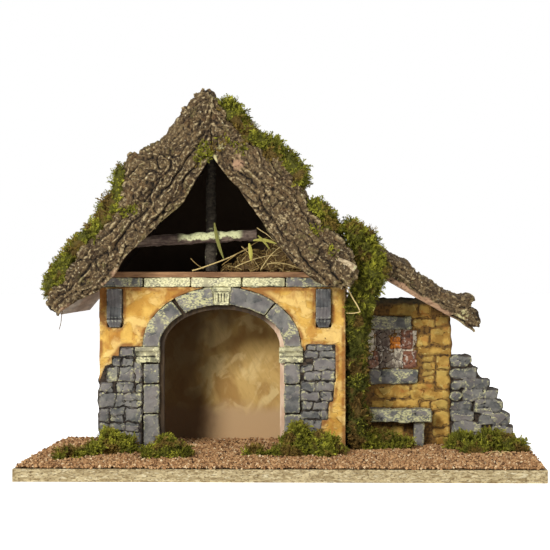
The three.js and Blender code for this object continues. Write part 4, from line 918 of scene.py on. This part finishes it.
def moss_cushion(node, material, count, seed):
    """A lumpy cushion in the CAD solid's place, overgrown with short and some long straggling fronds."""
    rng = np.random.default_rng(seed)
    cushion = Sculpt(node, 1.9)
    cushion.round_off(3)
    cushion.push(4.2 * layered(cushion.points, 13, seed) - 2.6)
    places, normals = surface_points(cushion, count, rng)
    batch = Batch()
    batch.add(cushion.points, cushion.faces, 0.3, 0.3)
    clump = 0.5 + 0.6 * noise(places, 8, seed + 3)
    growth = ramp(-0.3, 0.8, noise(places, 12, seed + 4))
    straggling = rng.random(count) < 0.16 + 0.4 * growth
    reach = np.where(straggling, rng.uniform(5, 11, count), rng.uniform(2.4, 4.6, count))
    spread = np.where(straggling, 0.75, 0.5)[:, None]
    directions = normals + rng.normal(size=normals.shape) * spread + [0, 0, 0.3]
    turns = turns_towards(rng, directions)
    scales = np.stack([reach * 0.8, reach * 0.8, reach], axis=1)
    tints = np.clip(0.6 * clump + rng.uniform(0, 0.4, count), 0, 1)
    if node == "moss_corner":
        # Painted shade: it is darker towards its foot, which lies in shade
        tints = tints * ramp(90, 220, places[:, 2])
    kinds = rng.integers(0, 4, count)
    for kind in range(4):
        chosen = kinds == kind
        points, faces, tips = frond(seed + kind)
        roots = places[chosen] - normals[chosen]
        batch.scatter((points, faces), roots, turns[chosen], scales[chosen], tints[chosen], tips)
    bpy.data.meshes.remove(cushion.mesh)
    batch.piece(node + "_leaves", material, "moss", [node], smooth=False)


def moss():
    """Grows all the cushions and gives their material."""
    material = moss_paint()
    counts = {
        "moss_roof_left": 5600, "moss_ridge": 4800, "moss_roof_right": 2000, "moss_corner": 7600,
        "moss_ground_left": 3600, "moss_ground_door": 2000, "moss_ground_right": 4400,
        "moss_ground_bench": 1900, "moss_ground_boulders": 4200,
    }
    for i, (node, count) in enumerate(counts.items()):
        moss_cushion(node, material, count, 100 + 11 * i)
    return material


# Stray moss on the bark's front, as [x, z, radius, number of fronds]
STRAYS = [
    [-77, 316, 9, 120], [-83, 308, 6, 40], [-166, 259, 4, 40], [-158, 254, 4, 44], [-150, 257, 5, 50],
    [-226, 190, 8, 50], [-60, 322, 8, 50], [-44, 318, 7, 40], [30, 238, 7, 40], [48, 216, 6, 30],
]


def stray_moss(material, points, normals):
    """Small tufts that cling to the front of the bark."""
    rng = np.random.default_rng(160)
    batch = Batch()
    for x, z, radius, count in STRAYS:
        near = np.flatnonzero(np.linalg.norm(points[:, [0, 2]] - [x, z], axis=1) < radius)
        chosen = rng.choice(near, count)
        directions = normals[chosen] + rng.normal(size=(count, 3)) * 0.8 + [0, 0, 0.2]
        reach = rng.uniform(2.5, 6, count)
        scales = np.stack([reach * 0.8, reach * 0.8, reach], axis=1)
        shape, faces, tips = frond(count + z)
        tints = rng.uniform(0.3, 1, count)
        turns = turns_towards(rng, directions)
        batch.scatter((shape, faces), points[chosen], turns, scales, tints, tips)
    batch.piece("stray_moss", material, "moss", smooth=False)


# Ground

# What stands on the board, as [left, right, front, back]: walls, annex, boulders and the bench's leg
STANDING = [
    [-191, -125.2, -1, 14], [-6.8, 60, -1, 14], [-191, -186, 9, 120], [55, 60, 9, 120], [-191, 60, 115, 120],
    [60.3, 169, 65, 75], [169, 238, 62, 82], [130.5, 141.5, 50.7, 64.7],
]
# Half the width and depth of the strewn ground, its lowest level, and the line between its front and back
GROUND_HALF = (248.6, 123.6)
GROUND_LEVEL = 13.0
GROUND_PARTS = 4


def in_the_way(x, y, margin):
    """Which places are taken by something that stands on the board, or are within that margin of it."""
    blocked = np.zeros(len(x), bool)
    for x0, x1, y0, y1 in STANDING:
        blocked |= (x > x0 - margin) & (x < x1 + margin) & (y > y0 - margin) & (y < y1 + margin)
    return blocked


def pebble(rng):
    """An eight-cornered grain as (points, faces)."""
    corners = np.array(list(itertools.product((-1, 1), repeat=3)), float)
    corners = corners * rng.uniform(0.45, 0.72, (8, 1)) + rng.normal(scale=0.09, size=(8, 3))
    faces = np.array([[0, 1, 3, 2], [4, 6, 7, 5], [0, 4, 5, 1], [2, 3, 7, 6], [0, 2, 6, 4], [1, 5, 7, 3]])
    return corners, faces


def bed_height(x, y):
    """The top of the CAD gravel bed at each place, in millimetres."""
    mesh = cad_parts["gravel_bed"].data
    tree = BVHTree.FromPolygons([v.co for v in mesh.vertices], [p.vertices[:] for p in mesh.polygons])
    down = Vector((0, 0, -1))
    hits = [tree.ray_cast(Vector((a * MM, b * MM, 0.1)), down)[0] for a, b in zip(x, y)]
    return np.maximum([hit.z / MM if hit else 0 for hit in hits], GROUND_LEVEL)


def grains(batch, rng, y_range, spacing, level, size):
    """Loose grains on a jittered grid, that far above the bed."""
    xs = np.arange(-247.5, 248, spacing)
    ys = np.arange(y_range[0], y_range[1], spacing)
    x, y = (g.ravel() for g in np.meshgrid(xs, ys))
    x = x + rng.uniform(-0.6, 0.6, len(x)) * spacing
    y = y + rng.uniform(-0.6, 0.6, len(y)) * spacing
    keep = (np.abs(x) < GROUND_HALF[0]) & (np.abs(y) < GROUND_HALF[1]) & ~in_the_way(x, y, 0.8)
    x, y = x[keep], y[keep]
    z = bed_height(x, y) + level + rng.uniform(-0.5, 0.5, len(x))
    places = np.stack([x, y, z], axis=1)
    kinds = rng.integers(0, 5, len(x))
    for kind in range(5):
        chosen = kinds == kind
        count = int(chosen.sum())
        scales = rng.uniform(0.7, 1.3, (count, 3)) * [1, 1, 0.8] * size * rng.uniform(0.7, 1.25, (count, 1))
        tints = rng.beta(1.5, 1.7, count)
        batch.scatter(pebble(rng), places[chosen], random_turns(rng, count), scales, tints)


def gravel():
    """A rough ground with large grains at the back, and small grains with larger ones on them in front."""
    material = gravel_paint()
    rng = np.random.default_rng(200)
    ground = Batch()
    xs = np.arange(-248, 248.1, 2)
    ys = np.arange(-123, 123.1, 2)
    x, y = np.meshgrid(xs, ys)
    flat = np.stack([x.ravel(), y.ravel(), np.zeros(x.size)], axis=1)
    flat[:, 2] = bed_height(*flat[:, :2].T) - 0.8 + 0.5 * layered(flat, 5, 202)
    across = len(xs)
    first = (np.arange(len(ys) - 1)[:, None] * across + np.arange(across - 1)[None]).ravel()
    quads = np.stack([first, first + 1, first + across + 1, first + across], axis=1)
    middle = flat[quads].mean(axis=1)
    quads = quads[~in_the_way(middle[:, 0], middle[:, 1], 0.6)]
    ground.add(flat, quads, 0.35 + 0.35 * noise(flat, 2.6, 203))
    grains(ground, rng, (GROUND_PARTS, 123.5), spacing=3.1, level=-0.3, size=1.75)
    ground.piece("gravel_back", material, "gravel", ["gravel_bed"], smooth=False)
    front = Batch()
    grains(front, rng, (-123.4, GROUND_PARTS), spacing=2.1, level=-0.3, size=1.35)
    grains(front, rng, (-123.2, GROUND_PARTS), spacing=4.4, level=0.9, size=1.5)
    front.piece("gravel_front", material, "gravel", smooth=False)


# Boards that keep their CAD shape

def dress(node, material):
    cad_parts[node].material_slots[0].material = material


def boards():
    inside = inner_paint()
    for node in ("side_wall_left", "side_wall_right", "rear_wall"):
        dress(node, inside)
    dress("base_board", chipboard_paint())
    dress("front_panel", panel_paint())
    dress("loft_floor", board_paint("plywood_edge", (112, 78, 50), (160, 120, 82), (6, 1, 1)))
    roof = board_paint("roof_board_wood", (170, 158, 144), (200, 188, 172), (1, 6, 1), dark_loft=True)
    for node in ("roof_board_left", "roof_board_right"):
        dress(node, roof)
    dress("lean_to_board", board_paint("lean_board_wood", (74, 62, 48), (104, 88, 70), (1, 6, 1)))


# Loft

# The corners of the space that the hay's stalks keep to
HAY_LOW = (-69.5, 9, 196.6)
HAY_HIGH = (19, 41, 232)


def stick(node, material, slot, seed):
    branch = Sculpt(node, 0.8)
    branch.round_off(2)
    branch.push(0.9 * layered(branch.points, 9, seed) + 0.35 * layered(branch.points, 2.5, seed + 5, 2))
    branch.piece(material, slot, wear_and_light=branch.curvature(6, 2))


def arc_between(a, b, sag, count, wave=0.0, seed=0):
    """A path from a to b that bends by the vector sag, with a small waver."""
    a, b, sag = (np.asarray(v, float) for v in (a, b, sag))
    t = np.linspace(0, 1, count)[:, None]
    path = a + (b - a) * t + sag * 4 * t * (1 - t)
    if wave:
        path = path + wave * np.stack([noise(path + 50 * k, 9, seed) for k in range(3)], axis=1)
    return path


def hay():
    rng = np.random.default_rng(300)
    nest = Sculpt("hay_heap", 1.6)
    nest.round_off(4)
    nest.push(1.6 * layered(nest.points, 8, 301) - 2.2)
    batch = Batch()
    batch.add(nest.points, nest.faces, 0.1)
    places, normals = surface_points(nest, 420, rng)
    for place, normal in zip(places, normals):
        heading = np.cross(normal, rng.normal(size=3))
        heading = heading / np.linalg.norm(heading)
        reach = rng.uniform(6, 19)
        start = place + normal * rng.uniform(0, 1.4) - heading * reach / 2
        end = place + normal * rng.uniform(0, 1.4) + heading * reach / 2
        start, end = (np.clip(tip, HAY_LOW, HAY_HIGH) for tip in (start, end))
        path = arc_between(start, end, normal * rng.uniform(0.5, 3), 6, 1, 7)
        batch.tube(path, rng.uniform(0.3, 0.55), 0.2, 4, rng.uniform(0.0, 0.85))
    batch.piece("hay_nest", straw_paint(), "hay", ["hay_heap"], smooth=False)
    bpy.data.meshes.remove(nest.mesh)


def loose_straws(straw, leaf):
    """Single stalks and leaves: two ends, how far the middle is off the line, thickness and tint."""
    stalks = [
        ([-96, 1, 197.2], [-38, 8, 220.5], [0, 0, -1.6], 0.8, 0.55, 0.75),
        ([-98, 6, 209.5], [-85, 8, 199.5], [0, 0, -0.6], 0.45, 0.3, 0.6),
        ([-30, 9, 241], [-13, 4, 228], [0, 0, 0.6], 0.55, 0.3, 0.8),
        ([-66, 4, 203], [-20, 9, 231], [0, 0, 2], 0.45, 0.3, 0.55),
        ([-52, 3, 201], [-8, 6, 213], [0, 0, 3], 0.45, 0.3, 0.85),
        ([-46, 4, 222], [-28, 5, 200], [2, 0, 0], 0.4, 0.3, 0.7),
        ([-26, 3, 198], [0, 6, 226], [-3, 0, 1], 0.5, 0.3, 0.9),
        ([-20, 2, 204], [12, 4, 200], [0, 0, 3], 0.5, 0.3, 0.8),
        ([57, -19, 188], [75, -21, 156.4], [0.6, 0, 0], 0.8, 0.6, 0.9),
        ([75, -21, 156.4], [61.5, -20, 154.6], [0, 0, -0.6], 0.6, 0.45, 0.9),
        ([-220, -40, 160], [-223, -41, 139], [0.8, 0, 0], 0.5, 0.35, 0.1),
        ([201, -39, 15], [214, -37, 17], [0, 0, 3], 0.45, 0.3, 0.95),
        ([212, -38, 15.5], [226, -35, 15], [0, 0, 4], 0.45, 0.3, 0.95),
    ]
    batch = Batch()
    for a, b, sag, thick, thin, tint in stalks:
        batch.tube(arc_between(a, b, sag, 11, 0.5, 9), thick, thin, 6, tint)
    batch.piece("loose_straws", straw, "hay")
    leaves = [
        ([-73, 0.5, 246], [-63.5, 1, 209], [-1.5, 0, 0], 3.6, 0.15),
        ([-38, 2, 225], [-36, 2.5, 207], [0.6, 0, 0], 4.0, 0.95),
        ([-34, 4, 228], [-10, 1, 224.5], [0, 0, 2], 3.2, 0.7),
        ([-29, 3, 233], [-17, 2, 219], [0, 0, 1], 2.4, 0.5),
        ([85, 7, 170], [88, 4, 156], [1, 0, 0], 5.0, 0.9),
    ]
    blades = Batch()
    for a, b, sag, width, tint in leaves:
        blades.blade(arc_between(a, b, sag, 9), width, tint)
    blades.piece("grass_blades", leaf, "hay", smooth=False)


def loft():
    stick("loft_post", stick_paint("post_bark", (44, 38, 30), (76, 68, 56), 0.0), "dark_wood", 91)
    stick("loft_rail", rail_paint(), "lichen_wood", 92)
    stick("branch_stub", stick_paint("stub_wood", (150, 130, 100), (206, 186, 150), 0.05), "dark_wood", 93)
    hay()
    loose_straws(straw_paint(), leaf_paint())


# Scene

# The lamps as name, place, what they point at and diameter, in metres, and power
LAMPS = [
    ("key", (-0.9, -1.9, 1.0), (-0.02, 0, 0.16), 0.6, 40),
    ("fill", (1.4, -1.3, 0.6), (0, 0, 0.15), 1.0, 10),
    ("rim", (0.3, 1.2, 1.3), (0, 0, 0.2), 1.0, 8),
]
SKY_LIGHT = 0.34      # how strongly the white world lights the model
SKY_SEEN = 1.0        # how bright the camera and shiny faces see it
FLOOR_GLOW = 0.72     # what the floor adds for the camera, so that it looks as white as the sky
# Measured in the photograph, in pixels: its size, where the board's sides meet, and the focal length
PHOTO_SIZE = 550
VANISHING_POINT = (368, 266)
FOCAL_LENGTH = 1525
CAMERA_PLACE = (0.0829, -1.545, 0.202)   # in metres
CAMERA_TURN = math.radians(1.3)


def studio():
    mesh = bpy.data.meshes.new("floor")
    mesh.from_pydata([(-6, -4, 0), (6, -4, 0), (6, 9, 0), (-6, 9, 0)], [], [(0, 1, 2, 3)])
    floor = link("floor", mesh)
    paint = Paint("floor_paper", 0.9)
    paint.feed(paint.shader.inputs["Base Color"], (0.9, 0.9, 0.9, 1))
    seen = paint.node("ShaderNodeLightPath").outputs["Is Camera Ray"]
    strength = paint.times(seen, FLOOR_GLOW)
    glow = paint.node("ShaderNodeEmission", None, {"Color": (1, 1, 1, 1), "Strength": strength})
    total = paint.node("ShaderNodeAddShader", None, {0: paint.shader.outputs[0], 1: glow.outputs[0]})
    paint.feed(paint.tree.nodes["Material Output"].inputs["Surface"], total.outputs[0])
    mesh.materials.append(paint.material)

    world = bpy.data.worlds.new("studio")
    bpy.context.scene.world = world
    world.use_nodes = True
    nodes = world.node_tree.nodes
    wire = world.node_tree.links.new
    path = nodes.new("ShaderNodeLightPath")
    seen = nodes.new("ShaderNodeMath")
    seen.operation = "MAXIMUM"
    wire(path.outputs["Is Camera Ray"], seen.inputs[0])
    wire(path.outputs["Is Glossy Ray"], seen.inputs[1])
    strength = nodes.new("ShaderNodeMapRange")
    strength.inputs["To Min"].default_value = SKY_LIGHT
    strength.inputs["To Max"].default_value = SKY_SEEN
    wire(seen.outputs[0], strength.inputs["Value"])
    wire(strength.outputs[0], nodes["Background"].inputs["Strength"])
    nodes["Background"].inputs["Color"].default_value = (1, 1, 1, 1)

    for name, place, target, size, power in LAMPS:
        data = bpy.data.lights.new(name, "AREA")
        data.shape = "DISK"
        data.size = size
        data.energy = power
        lamp = link(name, data)
        lamp.location = place
        lamp.rotation_euler = (Vector(target) - Vector(place)).to_track_quat("-Z", "Y").to_euler()


def camera():
    data = bpy.data.cameras.new("camera")
    data.sensor_width = 36
    data.lens = FOCAL_LENGTH / PHOTO_SIZE * data.sensor_width
    middle = PHOTO_SIZE / 2
    data.shift_x = -(VANISHING_POINT[0] - FOCAL_LENGTH * math.tan(CAMERA_TURN) - middle) / PHOTO_SIZE
    data.shift_y = (VANISHING_POINT[1] - middle) / PHOTO_SIZE
    data.clip_start = 0.05
    data.clip_end = 50
    view = link("camera", data)
    view.location = CAMERA_PLACE
    view.rotation_euler = (math.pi / 2, 0, CAMERA_TURN)
    bpy.context.scene.camera = view


camera()
studio()
boards()
stucco()
facade()
annex()
stray_moss(moss(), *bark())
gravel()
loft()
bpy.context.scene.view_settings.view_transform = "Standard"
